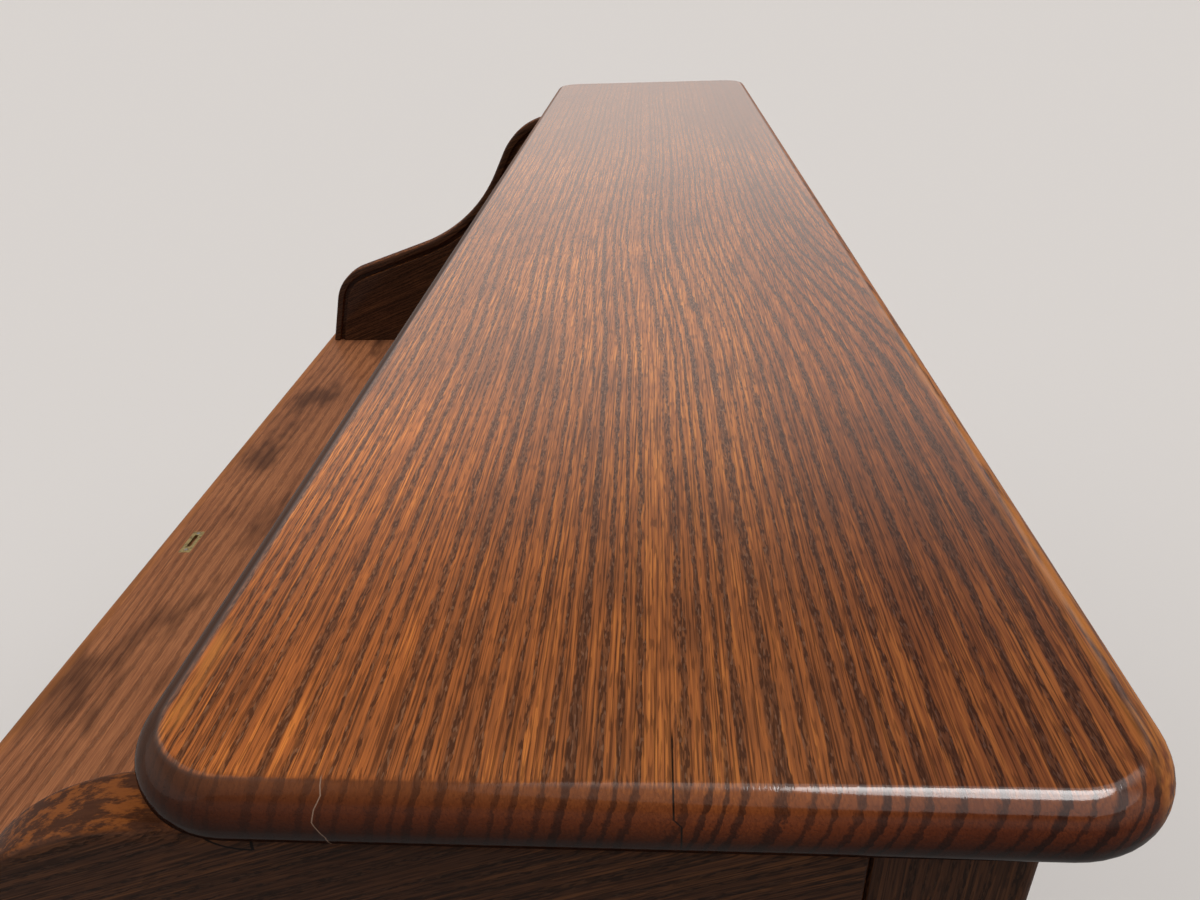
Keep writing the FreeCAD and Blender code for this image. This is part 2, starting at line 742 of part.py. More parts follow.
for side, low in (("left", "0 - gallery_inside"), ("right", "gallery_inside - gallery_drawer_width")):
    name = f"gallery_{side}_drawer"
    wall = "gallery_drawer_wall"
    tray = cut(
        name + "_tray",
        block(
            name + "_blank",
            ("gallery_drawer_width - 2 * drawer_front_gap", "gallery_depth - 2 * gallery_board",
             "gallery_drawer_height - drawer_front_gap - runner_gap"),
            (f"{low} + drawer_front_gap", "gallery_face + runner_gap", "gallery_floor + runner_gap"),
        ),
        [block(
            name + "_hollow",
            (f"gallery_drawer_width - 2 * drawer_front_gap - 2 * {wall}",
             f"gallery_depth - 2 * gallery_board - 2 * {wall}", "gallery_drawer_height"),
            (f"{low} + drawer_front_gap + {wall}", f"gallery_face + runner_gap + {wall}",
             f"gallery_floor + runner_gap + {wall}"),
        )],
    )
    place = Vector(
        size(f"{low} + gallery_drawer_width / 2"), size("gallery_face + runner_gap"),
        size("gallery_floor + gallery_drawer_height / 2"),
    )
    knob = turned(knob_profile("gallery_knob_radius", "gallery_knob_length"), place, Vector(0, -1, 0))
    group(name, [tray, solid(name + "_knob", knob)])

# Pedestals

for side, low, inner in (
    ("left", "0 - pedestal_outer", "0 - bay_inner"), ("right", "pedestal_end_inner", "pedestal_inner"),
):
    node(
        framed(
            f"{side}_pedestal_end", ("pedestal_end_thickness", "pedestal_depth", "pedestal_height"),
            (low, "pedestal_front", "plinth_height"), 1, "end_member", 2,
        ),
        f"{side}_pedestal_end",
    )
    board(
        f"{side}_inner_side", ("inner_side_thickness", "drawer_bay_depth", "pedestal_height"),
        (inner, "pedestal_front", "plinth_height"),
    )
FIELD_SPAN = "( ( pedestal_depth - 3 * end_member ) / 2 )"
group(
    "pedestal_end_fields",
    [
        block(
            f"end_field_{side}_{index}",
            ("field_thickness", FIELD_SPAN, "pedestal_height - 2 * end_member"),
            (f"{middle} - field_thickness / 2",
             f"pedestal_front + end_member + {index} * ( {FIELD_SPAN} + end_member )",
             "plinth_height + end_member"),
        )
        for side, middle in (
            ("left", "0 - pedestal_outer + pedestal_end_thickness / 2"),
            ("right", "pedestal_outer - pedestal_end_thickness / 2"),
        )
        for index in range(2)
    ],
)
BAYS = (("left", "0 - pedestal_end_inner"), ("right", "bay_inner"))
group(
    "pedestal_floors",
    [
        eased(block(
            f"{side}_floor", ("bay_width", "drawer_bay_depth", "floor_thickness"),
            (low, "pedestal_front", "plinth_height"),
        ))
        for side, low in BAYS
    ],
)


def plinth(side, low):
    """The base frame under one pedestal, a little proud of it."""
    extent = ("pedestal_width + 2 * plinth_reveal", "pedestal_depth + 2 * plinth_reveal", "plinth_height")
    place = (f"{low} - plinth_reveal", "pedestal_front - plinth_reveal", "0")
    outer = eased(block(f"{side}_plinth_blank", extent, place), "drawer_front_edge")
    hollow = block(
        f"{side}_plinth_hollow",
        (f"{extent[0]} - 2 * plinth_thickness", f"{extent[1]} - 2 * plinth_thickness", extent[2]),
        (f"{place[0]} + plinth_thickness", f"{place[1]} + plinth_thickness", place[2]),
    )
    return cut(f"{side}_plinth_frame", outer, [hollow])


for side, low in (("left", "0 - pedestal_outer"), ("right", "pedestal_inner")):
    node(plinth(side, low), f"{side}_plinth")

board(
    "kneehole_back", ("2 * bay_inner", "kneehole_back_thickness", "pedestal_height"),
    ("0 - bay_inner", "bay_back", "plinth_height"),
)
node(
    framed(
        "lower_back_frame", ("2 * pedestal_end_inner", "upper_back_thickness", "pedestal_height"),
        ("0 - pedestal_end_inner", "pedestal_back - upper_back_thickness", "plinth_height"),
        0, "frame_member", 3,
    ),
    "lower_back_frame",
)
board(
    "lower_back_panel", ("2 * pedestal_end_inner", "field_thickness", "pedestal_height"),
    ("0 - pedestal_end_inner", "pedestal_back - upper_back_thickness - field_thickness", "plinth_height"),
)

# Drawers, the rails between them and the runners that carry them

DRAWERS = [
    ("left_top_drawer", "0 - pedestal_end_inner", "bay_width", "top_drawer_z", "top_drawer_height"),
    ("left_middle_drawer", "0 - pedestal_end_inner", "bay_width", "middle_drawer_z", "middle_drawer_height"),
    ("left_bottom_drawer", "0 - pedestal_end_inner", "bay_width", "bay_floor", "bottom_drawer_height"),
    ("right_top_drawer", "bay_inner", "bay_width", "top_drawer_z", "top_drawer_height"),
    ("right_file_drawer", "bay_inner", "bay_width", "bay_floor", "file_drawer_height"),
    ("centre_drawer", "0 - pedestal_inner", "centre_drawer_width", "centre_drawer_z", "centre_drawer_height"),
]
runners = []


def drawer(name, low, width, bottom, opening):
    """One drawer: its front, its open box, its pulls and the two runners under the box."""
    board(
        name + "_front",
        (f"{width} - 2 * drawer_front_gap", "drawer_front_thickness", f"{opening} - 2 * drawer_front_gap"),
        (f"{low} + drawer_front_gap", "pedestal_front", f"{bottom} + drawer_front_gap"),
        "drawer_front_edge",
    )
    box_low = (f"{low} + drawer_side_gap", "pedestal_front + drawer_front_thickness",
               f"{bottom} + runner_height + runner_gap")
    box_extent = (f"{width} - 2 * drawer_side_gap",
                  "drawer_bay_depth - drawer_front_thickness - drawer_back_gap",
                  f"{opening} - runner_height - runner_gap - drawer_top_gap")
    node(
        cut(
            name + "_box",
            block(name + "_box_blank", box_extent, box_low),
            [block(
                name + "_box_hollow",
                (f"{box_extent[0]} - 2 * drawer_wall", f"{box_extent[1]} - 2 * drawer_wall", box_extent[2]),
                (f"{box_low[0]} + drawer_wall", f"{box_low[1]} + drawer_wall", f"{box_low[2]} + drawer_floor"),
            )],
        ),
        name + "_box",
    )
    middle = Vector(
        size(f"{low} + {width} / 2"), size("pedestal_front"), size(f"{bottom} + {opening} / 2"),
    )
    offsets = [side * size("pull_spacing") / 2 for side in (-1, 1)]
    profile = knob_profile("pull_radius", "pull_length")
    pulls = [turned(profile, middle + Vector(offset, 0, 0), Vector(0, -1, 0)) for offset in offsets]
    solid(name + "_pulls_set", Part.makeCompound(pulls), name + "_pulls")
    for side, place in (("left", low), ("right", f"{low} + {width} - 2 * drawer_side_gap")):
        runners.append(block(
            f"{name}_{side}_runner",
            ("2 * drawer_side_gap", "drawer_bay_depth - drawer_front_thickness - drawer_front_gap",
             "runner_height"),
            (place, "pedestal_front + drawer_front_thickness + drawer_front_gap", bottom),
        ))


for entry in DRAWERS:
    drawer(*entry)
group("drawer_runners", runners)
rails = []
for side, low in BAYS:
    levels = ["top_seat - rail_height", "top_drawer_z - rail_height"]
    if side == "left":
        levels.append("middle_drawer_z - rail_height")
    for index, level in enumerate(levels):
        rails.append(eased(block(
            f"{side}_rail_{index}", ("bay_width", "rail_depth", "rail_height"), (low, "pedestal_front", level),
        )))
group("drawer_rails", rails)

# Test every piece, then write it

doc.recompute()
for item in doc.Objects:
    if "Invalid" in item.State or "Error" in item.State:
        raise RuntimeError(f"{item.Label} failed: {item.State}")
for item in NODES:
    if item.Shape.isNull() or not item.Shape.isValid():
        raise RuntimeError(f"{item.Label} has no valid shape")
    if item.Shape.Volume <= 0:
        raise RuntimeError(f"{item.Label} is empty or inside out")

os.makedirs("parts", exist_ok=True)
for item in NODES:
    item.Shape.exportStep(f"parts/{item.Label}.step")
print(f"{len(NODES)} nodes, roll pitch {PITCH:.3f}, rail pitch {RAIL_PITCH:.3f}, travel {TRAVEL:.3f}")
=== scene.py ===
"""Looks of an S-roll tambour desk: stained oak, softened boards, aged brass, plain light and the camera."""
import json
import logging
import math
from dataclasses import dataclass, field, replace
from enum import Enum
from typing import Callable, Iterable, Sequence

import bpy
from mathutils import Matrix, Vector

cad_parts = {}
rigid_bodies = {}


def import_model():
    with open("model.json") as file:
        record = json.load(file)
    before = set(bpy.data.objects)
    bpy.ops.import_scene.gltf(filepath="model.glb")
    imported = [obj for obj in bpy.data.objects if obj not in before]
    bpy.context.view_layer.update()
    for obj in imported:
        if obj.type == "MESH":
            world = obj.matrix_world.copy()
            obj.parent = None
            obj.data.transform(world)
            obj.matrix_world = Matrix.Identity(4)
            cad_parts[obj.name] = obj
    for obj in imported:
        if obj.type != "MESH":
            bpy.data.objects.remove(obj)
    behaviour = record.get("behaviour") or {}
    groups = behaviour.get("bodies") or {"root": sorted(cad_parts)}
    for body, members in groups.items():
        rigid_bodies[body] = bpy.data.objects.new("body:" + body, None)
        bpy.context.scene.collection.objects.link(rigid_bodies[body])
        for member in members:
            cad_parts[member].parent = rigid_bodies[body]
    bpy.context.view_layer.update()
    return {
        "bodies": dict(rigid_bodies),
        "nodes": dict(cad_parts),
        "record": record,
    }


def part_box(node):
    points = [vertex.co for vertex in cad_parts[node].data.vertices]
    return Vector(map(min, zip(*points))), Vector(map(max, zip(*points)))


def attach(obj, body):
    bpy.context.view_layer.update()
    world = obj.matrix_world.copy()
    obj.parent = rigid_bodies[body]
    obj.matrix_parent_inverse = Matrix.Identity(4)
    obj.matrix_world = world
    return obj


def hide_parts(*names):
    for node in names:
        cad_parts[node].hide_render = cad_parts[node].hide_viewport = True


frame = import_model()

LOG = logging.getLogger("desk")
MM = 0.001

Colour = tuple[float, float, float]
Waves = tuple[float, float, float]
Socket = bpy.types.NodeSocket


class Grain(Enum):
    """The way a board's grain runs, with the turn in degrees that brings that way to the pattern's X."""

    ALONG_X = (0.0, 0.0, 0.0)
    ALONG_Y = (0.0, 0.0, -90.0)
    ALONG_Z = (0.0, 90.0, 0.0)

    def turn(self) -> tuple[float, ...]:
        """The pattern's turn in radians."""
        return tuple(math.radians(angle) for angle in self.value)


class NodeGraph:
    """A material's node tree, with one short method for each kind of node."""

    def __init__(self, name: str) -> None:
        """Make a material with its main shader.

        Args:
            name: The material's name.
        """
        self.material = bpy.data.materials.new(name)
        self.material.use_nodes = True
        self.tree = self.material.node_tree
        self.shader = self.tree.nodes["Principled BSDF"]

    def add(self, kind: str, **settings: object) -> bpy.types.Node:
        """Add a node and set its properties.

        Args:
            kind: The node's type name without its prefix.
            settings: Properties to set on the node.

        Returns:
            The node.
        """
        node = self.tree.nodes.new("ShaderNode" + kind)
        for key, value in settings.items():
            setattr(node, key, value)
        return node

    def put(self, socket: Socket, value: object) -> None:
        """Feed a socket from another socket, or set it to a constant.

        Args:
            socket: The socket to feed.
            value: Another socket, a constant, or None to leave it as it is.
        """
        if isinstance(value, Socket):
            self.tree.links.new(value, socket)
        elif value is not None:
            socket.default_value = value

    def math(self, operation: str, first: object, second: object = None, third: object = None) -> Socket:
        """Join numbers by an operation.

        Args:
            operation: Blender's name of the operation.
            first: A socket or number.
            second: A socket or number, where the operation has two.
            third: A socket or number, where the operation has three.

        Returns:
            The result's socket.
        """
        node = self.add("Math", operation=operation)
        for socket, value in zip(node.inputs, (first, second, third)):
            self.put(socket, value)
        return node.outputs[0]

    def vector(self, operation: str, first: object, second: object = None) -> bpy.types.Node:
        """Join two vectors by an operation.

        Args:
            operation: Blender's name of the operation.
            first: A socket or vector.
            second: A socket or vector, where the operation has two.

        Returns:
            The node, because some operations give a number and others a vector.
        """
        node = self.add("VectorMath", operation=operation)
        self.put(node.inputs[0], first)
        self.put(node.inputs[1], second)
        return node

    def stretched(self, vector: object, factors: Sequence[float]) -> Socket:
        """Scale a vector by a factor along each axis."""
        return self.vector("MULTIPLY", vector, tuple(factors)).outputs[0]

    def parts(self, vector: object) -> tuple[Socket, ...]:
        """Take a vector apart.

        Args:
            vector: The vector's socket.

        Returns:
            The sockets of its three numbers.
        """
        node = self.add("SeparateXYZ")
        self.put(node.inputs[0], vector)
        return tuple(node.outputs)

    def spread(self, value: object, low: float, high: float, first: float = 0.0, last: float = 1.0) -> Socket:
        """Map a range smoothly onto another one.

        Args:
            value: The socket to map.
            low: The value that gives first.
            high: The value that gives last.
            first: The result at low.
            last: The result at high.

        Returns:
            The mapped socket.
        """
        node = self.add("MapRange", interpolation_type="SMOOTHSTEP")
        for socket, number in zip(node.inputs[:5], (value, low, high, first, last)):
            self.put(socket, number)
        return node.outputs[0]

    def band(self, value: object, low: float, high: float, soft: float) -> Socket:
        """Mark the stretch between two values.

        Args:
            value: The socket to test.
            low: Where the stretch begins.
            high: Where it ends.
            soft: The margin over which the mask fades out.

        Returns:
            A mask that is 1 on the stretch.
        """
        rise = self.spread(value, low - soft, low)
        fall = self.spread(value, high, high + soft, 1.0, 0.0)
        return self.math("MULTIPLY", rise, fall)

    def noise(self, vector: object, waves: Waves, detail: float = 2.0, rough: float = 0.55) -> Socket:
        """Noise from 0 to 1 with its own number of waves in a metre along each axis.

        Args:
            vector: The place to read it at.
            waves: Waves in a metre along each axis.
            detail: How many finer layers it has.
            rough: How strong the finer layers are.

        Returns:
            The noise's socket.
        """
        return self.cloud(vector, waves, detail, rough).outputs["Fac"]

    def sway(self, vector: object, waves: Waves, reach: Sequence[float]) -> Socket:
        """A vector that wanders about zero.

        Args:
            vector: The place to read it at.
            waves: Waves in a metre along each axis.
            reach: How far it wanders along each axis.

        Returns:
            The vector's socket.
        """
        colour = self.cloud(vector, waves, 2.0, 0.5).outputs["Color"]
        centred = self.vector("SUBTRACT", colour, (0.5, 0.5, 0.5)).outputs[0]
        return self.stretched(centred, [2 * value for value in reach])

    def cloud(self, vector: object, waves: Waves, detail: float, rough: float) -> bpy.types.Node:
        """The noise node behind noise and sway.

        Args:
            vector: The place to read it at.
            waves: Waves in a metre along each axis.
            detail: How many finer layers it has.
            rough: How strong the finer layers are.

        Returns:
            The node.
        """
        node = self.add("TexNoise", noise_dimensions="3D")
        self.put(node.inputs["Vector"], self.stretched(vector, waves))
        self.put(node.inputs["Scale"], 1.0)
        self.put(node.inputs["Detail"], detail)
        self.put(node.inputs["Roughness"], rough)
        return node

    def waver(self, value: object, scale: float) -> Socket:
        """Noise from 0 to 1 along one number.

        Args:
            value: The number's socket.
            scale: Waves in one unit of the number.

        Returns:
            The noise's socket.
        """
        node = self.add("TexNoise", noise_dimensions="1D")
        self.put(node.inputs["W"], value)
        self.put(node.inputs["Scale"], scale)
        self.put(node.inputs["Detail"], 1.0)
        return node.outputs["Fac"]

    def ramp(self, value: object, stops: Iterable[tuple[float, Colour]]) -> Socket:
        """Turn a number into a colour.

        Args:
            value: The number's socket.
            stops: Places from 0 to 1 and their colours.

        Returns:
            The colour's socket.
        """
        node = self.add("ValToRGB")
        elements = node.color_ramp.elements
        stops = list(stops)
        while len(elements) < len(stops):
            elements.new(0.5)
        for element, (place, colour) in zip(elements, stops):
            element.position = place
            element.color = (*colour, 1.0)
        self.put(node.inputs[0], value)
        return node.outputs[0]

    def mix(self, share: object, first: object, second: object, mode: str = "MIX") -> Socket:
        """Mix two colours.

        Args:
            share: How much of the second colour, as a socket or number.
            first: A colour or its socket.
            second: A colour or its socket.
            mode: Blender's name of the way of mixing.

        Returns:
            The mixed colour's socket.
        """
        node = self.add("Mix", data_type="RGBA", blend_type=mode)
        self.put(node.inputs[0], share)
        for socket, value in ((node.inputs[6], first), (node.inputs[7], second)):
            self.put(socket, (*value, 1.0) if isinstance(value, tuple) else value)
        return node.outputs[2]

    def bump(self, height: object, strength: float, distance: float) -> Socket:
        """Turn a height into a normal.

        Args:
            height: The height's socket.
            strength: How much of the relief shows.
            distance: The height of 1 in metres.

        Returns:
            The normal's socket.
        """
        node = self.add("Bump")
        self.put(node.inputs["Strength"], strength)
        self.put(node.inputs["Distance"], distance)
        self.put(node.inputs["Height"], height)
        return node.outputs[0]


@dataclass
class Surface:
    """A finish while it is being made: where it lies, and its colour, relief and lacquer so far."""

    graph: NodeGraph
    place: Socket
    normal: Socket
    colour: Socket
    height: Socket
    lacquer: float | Socket

    def tint(self, mask: Socket, colour: object, mode: str = "MIX") -> None:
        """Mix another colour in where the mask is 1."""
        self.colour = self.graph.mix(mask, self.colour, colour, mode)

    def sink(self, mask: Socket, depth: float = 1.0) -> None:
        """Lower the relief where the mask is 1."""
        self.height = self.graph.math("MULTIPLY_ADD", mask, -depth, self.height)


Wear = Callable[[Surface], None]
EdgeTest = Callable[[bpy.types.MeshEdge], bool]


@dataclass(frozen=True)
class Wood:
    """A stained ring-porous wood. Lengths are metres, and the pattern's X runs along the grain.

    The pith is a line beside the board. It sinks by dive on one stretch of its length, which bows the rings
    across the board's face there.
    """

    name: str
    early: Colour
    late: Colour
    streak: Colour
    pore: Colour
    end: Colour
    ring: float = 0.0062
    pith: tuple[float, float] = (0.10, -0.12)
    dive: float = 0.0
    dive_between: tuple[float, float] = (0.0, 1.0)
    wander: float = 0.006
    ring_depth: float = 0.85
    pore_depth: float = 0.75
    hairline: float = 0.65
    # Painted highlight: the pale colour of glints painted beside the pores.
    painted_glint: Colour = (0.28, 0.15, 0.09)
    mottle: float = 0.3
    end_shade: float = 0.55
    end_rings: float = 0.0
    lacquer: float = 1.0
    lacquer_roughness: float = 0.10
    lacquer_ior: float = 1.42
    roughness: float = 0.6
    relief: float = 0.0004
    bend_waves: Waves = (1.3, 5.0, 5.0)
    ripple_waves: Waves = (9.0, 40.0, 40.0)
    fray_waves: Waves = (60.0, 420.0, 420.0)
    pore_waves: Waves = (170.0, 1100.0, 1100.0)
    fleck_waves: Waves = (110.0, 1150.0, 1150.0)
    fibre_waves: Waves = (24.0, 800.0, 800.0)
    hair_waves: Waves = (16.0, 1300.0, 1300.0)
    painted_glint_waves: Waves = (300.0, 1200.0, 1200.0)
    flame_waves: Waves = (3.0, 130.0, 130.0)
    cloud_waves: Waves = (4.0, 9.0, 9.0)

    def material(
        self, label: str, grain: Grain, offset: Sequence[float] = (0.0, 0.0, 0.0), wear: Wear | None = None,
        tilt: float = 0.0, stiles: Sequence[tuple[float, float]] = (),
    ) -> bpy.types.Material:
        """Build the wood's material for boards whose grain runs one way.

        Args:
            label: The material's name after the wood's.
            grain: The way the grain runs.
            offset: Shift of the pattern, so that boards differ.
            wear: A function that changes the surface in places.
            tilt: A turn of the grain about X, in degrees.
            stiles: Stretches along the grain where a frame's stiles stand, with upright grain.

        Returns:
            The material.
        """
        graph = NodeGraph(f"{self.name}_{label}")
        coords = graph.add("TexCoord")
        axis = list(Grain).index(grain)
        point = self.lay(graph, coords, grain, offset, tilt)
        across = graph.math("ABSOLUTE", graph.parts(coords.outputs["Normal"])[axis])
        seams: Socket | None = None
        if stiles:
            along = graph.parts(coords.outputs["Object"])[axis]
            stands, seams = self.stile_masks(graph, along, stiles)
            point = graph.mix(stands, point, self.lay(graph, coords, Grain.ALONG_Z, offset, tilt))
            across = graph.math("MULTIPLY", across, graph.math("SUBTRACT", 1.0, stands))

        early = self.rings(graph, point)
        pores = self.pores(graph, point, early)
        colour = self.stain(graph, point, early, pores)
        end = graph.mix(graph.math("MULTIPLY", early, self.end_rings), self.end, self.pore)
        colour = graph.mix(graph.spread(across, 0.06, 0.40, 0.0, self.end_shade), colour, end)
        surface = Surface(
            graph, coords.outputs["Object"], coords.outputs["Normal"], colour,
            graph.math("MULTIPLY", pores, -1.0), self.lacquer,
        )
        surface.sink(early, 0.3)
        if seams is not None:
            surface.tint(seams, self.pore)
        if wear:
            wear(surface)
        for socket, value in (
            ("Base Color", surface.colour), ("Roughness", self.roughness), ("Specular IOR Level", 0.0),
            ("Normal", graph.bump(surface.height, 0.5, self.relief)),
            ("Coat Weight", surface.lacquer), ("Coat Roughness", self.lacquer_roughness),
            ("Coat IOR", self.lacquer_ior), ("Coat Normal", graph.bump(surface.height, 0.03, self.relief)),
        ):
            graph.put(graph.shader.inputs[socket], value)
        return graph.material

    @staticmethod
    def stile_masks(
        graph: NodeGraph, along: Socket, stiles: Sequence[tuple[float, float]],
    ) -> tuple[Socket, Socket]:
        """Mark a frame's stiles and the dark seams beside them.

        Args:
            graph: The material's nodes.
            along: The place along the frame.
            stiles: Each stile's two edges.

        Returns:
            A mask of the stiles, and one of the seams between them and the rails.
        """
        stands: Socket | float = 0.0
        for low, high in stiles:
            stands = graph.math("MAXIMUM", stands, graph.band(along, low, high, 0.1 * MM))
        seams: Socket | float = 0.0
        for edge in [edge for stile in stiles for edge in stile][1:-1]:
            gap = graph.math("ABSOLUTE", graph.math("SUBTRACT", along, edge))
            seams = graph.math("MAXIMUM", seams, graph.spread(gap, 0.2 * MM, 0.7 * MM, 0.8, 0.0))
        return stands, seams

    def pores(self, graph: NodeGraph, point: Socket, early: Socket) -> Socket:
        """The open pores of the early wood and the flecks between them.

        Args:
            graph: The material's nodes.
            point: The place in the pattern.
            early: The early part of the rings.

        Returns:
            1 in a pore and 0 beside it.
        """
        dash = graph.noise(point, self.pore_waves, 1.0)
        fleck = graph.noise(point, self.fleck_waves, 0.0)
        rows = graph.math("MULTIPLY", graph.spread(dash, 0.48, 0.56), graph.spread(early, 0.10, 0.60))
        flecks = graph.math("MULTIPLY", graph.spread(fleck, 0.58, 0.68), 0.6)
        return graph.math("MAXIMUM", rows, flecks)

    def lay(
        self, graph: NodeGraph, coords: bpy.types.Node, grain: Grain, offset: Sequence[float], tilt: float,
    ) -> Socket:
        """Turn and shift the object's coordinates into the pattern's.

        Args:
            graph: The material's nodes.
            coords: The node that gives the object's coordinates.
            grain: The way the grain runs.
            offset: Shift of the pattern.
            tilt: A turn of the grain about X, in degrees.

        Returns:
            The place in the pattern.
        """
        mapping = graph.add("Mapping", vector_type="POINT")
        graph.put(mapping.inputs["Vector"], coords.outputs["Object"])
        graph.put(mapping.inputs["Rotation"], (math.radians(tilt), *grain.turn()[1:]))
        graph.put(mapping.inputs["Location"], tuple(offset))
        return mapping.outputs[0]

    def rings(self, graph: NodeGraph, point: Socket) -> Socket:
        """The porous early part of each growth ring.

        Args:
            graph: The material's nodes.
            point: The place in the pattern.

        Returns:
            1 in the early wood and 0 in the dense late wood.
        """
        ripple = 0.18 * self.ring
        wide = graph.sway(point, self.bend_waves, (0.0, self.wander, self.wander))
        close = graph.sway(point, self.ripple_waves, (0.0, ripple, ripple))
        moved = graph.vector("ADD", graph.vector("ADD", point, wide).outputs[0], close).outputs[0]
        x, y, z = graph.parts(moved)
        sunk = graph.spread(x, *self.dive_between, 0.0, self.dive)
        spoke = graph.add("CombineXYZ")
        graph.put(spoke.inputs[1], graph.math("SUBTRACT", y, self.pith[0]))
        graph.put(spoke.inputs[2], graph.math("ADD", sunk, graph.math("SUBTRACT", z, self.pith[1])))
        radius = graph.vector("LENGTH", spoke.outputs[0]).outputs["Value"]

        years = graph.math("DIVIDE", radius, self.ring)
        years = graph.math("MULTIPLY_ADD", graph.waver(radius, 0.25 / self.ring), 2.6, years)
        years = graph.math("MULTIPLY_ADD", graph.noise(point, self.fray_waves, 2.0, 0.6), 0.5, years)
        phase = graph.math("FRACT", years)
        season = graph.add("TexWhiteNoise", noise_dimensions="1D")
        graph.put(season.inputs["W"], graph.math("FLOOR", years))
        late = graph.math("MULTIPLY_ADD", season.outputs["Value"], -0.22, phase)
        fall = graph.spread(late, 0.16, 0.34, 1.0, 0.0)
        band = graph.math("MULTIPLY", graph.spread(phase, 0.0, 0.08), fall)
        return graph.math("MULTIPLY", band, graph.spread(season.outputs["Value"], 0.0, 1.0, 0.75, 1.0))

    def stain(self, graph: NodeGraph, point: Socket, early: Socket, pores: Socket) -> Socket:
        """The stained colour of rings, fibres and pores, with painted highlight glints beside the pores.

        Args:
            graph: The material's nodes.
            point: The place in the pattern.
            early: The early part of the rings.
            pores: The open pores.

        Returns:
            The colour's socket.
        """
        fibre = graph.noise(point, self.fibre_waves, 2.0, 0.7)
        hair = graph.noise(point, self.hair_waves, 1.0)
        aside = graph.vector("ADD", point, (3.1, 1.7, 2.3)).outputs[0]
        painted_glint = graph.noise(aside, self.painted_glint_waves, 0.0)
        flame = graph.noise(point, self.flame_waves, 2.0, 0.6)
        cloud = graph.noise(point, self.cloud_waves, 3.0, 0.6)
        tone = graph.spread(fibre, 0.25, 0.75, -0.40, 0.40)
        tone = graph.math("ADD", tone, graph.spread(flame, 0.2, 0.8, 0.34, 0.62))
        tone = graph.math("ADD", tone, graph.spread(cloud, 0.2, 0.8, -self.mottle, self.mottle))
        shade = tuple(0.45 * a + 0.55 * b for a, b in zip(self.late, self.early))
        colour = graph.ramp(tone, ((0.0, shade), (0.5, self.late), (1.0, self.streak)))
        colour = graph.mix(graph.spread(hair, 0.48, 0.64, 0.0, self.hairline), colour, self.pore)
        colour = graph.mix(graph.math("MULTIPLY", early, self.ring_depth), colour, self.early)
        colour = graph.mix(graph.math("MULTIPLY", pores, self.pore_depth), colour, self.pore)
        # Painted highlight: pale glints painted into the colour beside the early wood's pores.
        painted_glint_mask = graph.math("MULTIPLY", graph.spread(painted_glint, 0.60, 0.70), graph.spread(early, 0.2, 0.7))
        return graph.mix(graph.math("MULTIPLY", painted_glint_mask, 0.3), colour, self.painted_glint)


@dataclass(frozen=True)
class Metal:
    """An aged metal with handling marks."""

    name: str
    clean: Colour
    tarnish: Colour
    roughness: float
    stain_waves: Waves = (160.0, 160.0, 160.0)
    scratch_waves: Waves = (90.0, 1400.0, 900.0)

    def material(self) -> bpy.types.Material:
        """Build the metal's material.

        Returns:
            The material.
        """
        graph = NodeGraph(self.name)
        place = graph.add("TexCoord").outputs["Object"]
        stain = graph.noise(place, self.stain_waves, 4.0, 0.65)
        scratch = graph.noise(place, self.scratch_waves, 2.0, 0.5)
        colour = graph.mix(graph.spread(stain, 0.35, 0.7), self.clean, self.tarnish)
        graph.put(graph.shader.inputs["Base Color"], colour)
        graph.put(graph.shader.inputs["Metallic"], 1.0)
        rough = graph.spread(stain, 0.3, 0.75, self.roughness, self.roughness + 0.25)
        graph.put(graph.shader.inputs["Roughness"], rough)
        graph.put(graph.shader.inputs["Normal"], graph.bump(scratch, 0.15, 0.0001))
        return graph.material


@dataclass(frozen=True)
class Canvas:
    """Plain woven cotton glued behind the slats."""

    name: str
    light: Colour
    dark: Colour
    thread: float = 0.0011

    def material(self) -> bpy.types.Material:
        """Build the weave's material.

        Returns:
            The material.
        """
        graph = NodeGraph(self.name)
        x, y, z = graph.parts(graph.add("TexCoord").outputs["Object"])
        turns = 2 * math.pi / self.thread
        warp = graph.math("SINE", graph.math("MULTIPLY", x, turns))
        weft = graph.math("SINE", graph.math("MULTIPLY", graph.math("ADD", y, z), turns))
        tone = graph.spread(graph.math("MULTIPLY", warp, weft), -1.0, 1.0)
        graph.put(graph.shader.inputs["Base Color"], graph.mix(tone, self.dark, self.light))
        graph.put(graph.shader.inputs["Roughness"], 0.9)
        graph.put(graph.shader.inputs["Normal"], graph.bump(tone, 0.4, 0.0002))
        return graph.material


TOP_OAK = Wood(
    "top_oak", early=(0.105, 0.043, 0.022), late=(0.300, 0.094, 0.028), streak=(0.530, 0.180, 0.042),
    pore=(0.045, 0.017, 0.009), end=(0.270, 0.078, 0.021), ring=0.0066, pith=(0.445, 1.220), dive=0.078,
    dive_between=(0.0, 0.48), wander=0.010, end_shade=0.70, end_rings=0.9,
)
CASE_OAK = Wood(
    "case_oak", early=(0.036, 0.016, 0.009), late=(0.080, 0.032, 0.016), streak=(0.140, 0.055, 0.022),
    pore=(0.018, 0.009, 0.006), end=(0.040, 0.016, 0.009), painted_glint=(0.10, 0.05, 0.03), ring=0.0055,
    pith=(0.12, -0.35), wander=0.02, ring_depth=0.6, lacquer=0.5,
)
END_OAK = replace(CASE_OAK, name="end_oak", lacquer=0.12)
WRITING_WOOD = Wood(
    "writing_wood", early=(0.125, 0.045, 0.022), late=(0.330, 0.125, 0.055), streak=(0.430, 0.170, 0.072),
    pore=(0.055, 0.022, 0.013), end=(0.100, 0.038, 0.018), ring=0.0120, pith=(-0.10, 0.62), wander=0.04,
    ring_depth=0.65, pore_depth=0.15, hairline=0.25, mottle=0.30, lacquer=0.18, lacquer_roughness=0.32,
    relief=0.00012,
)
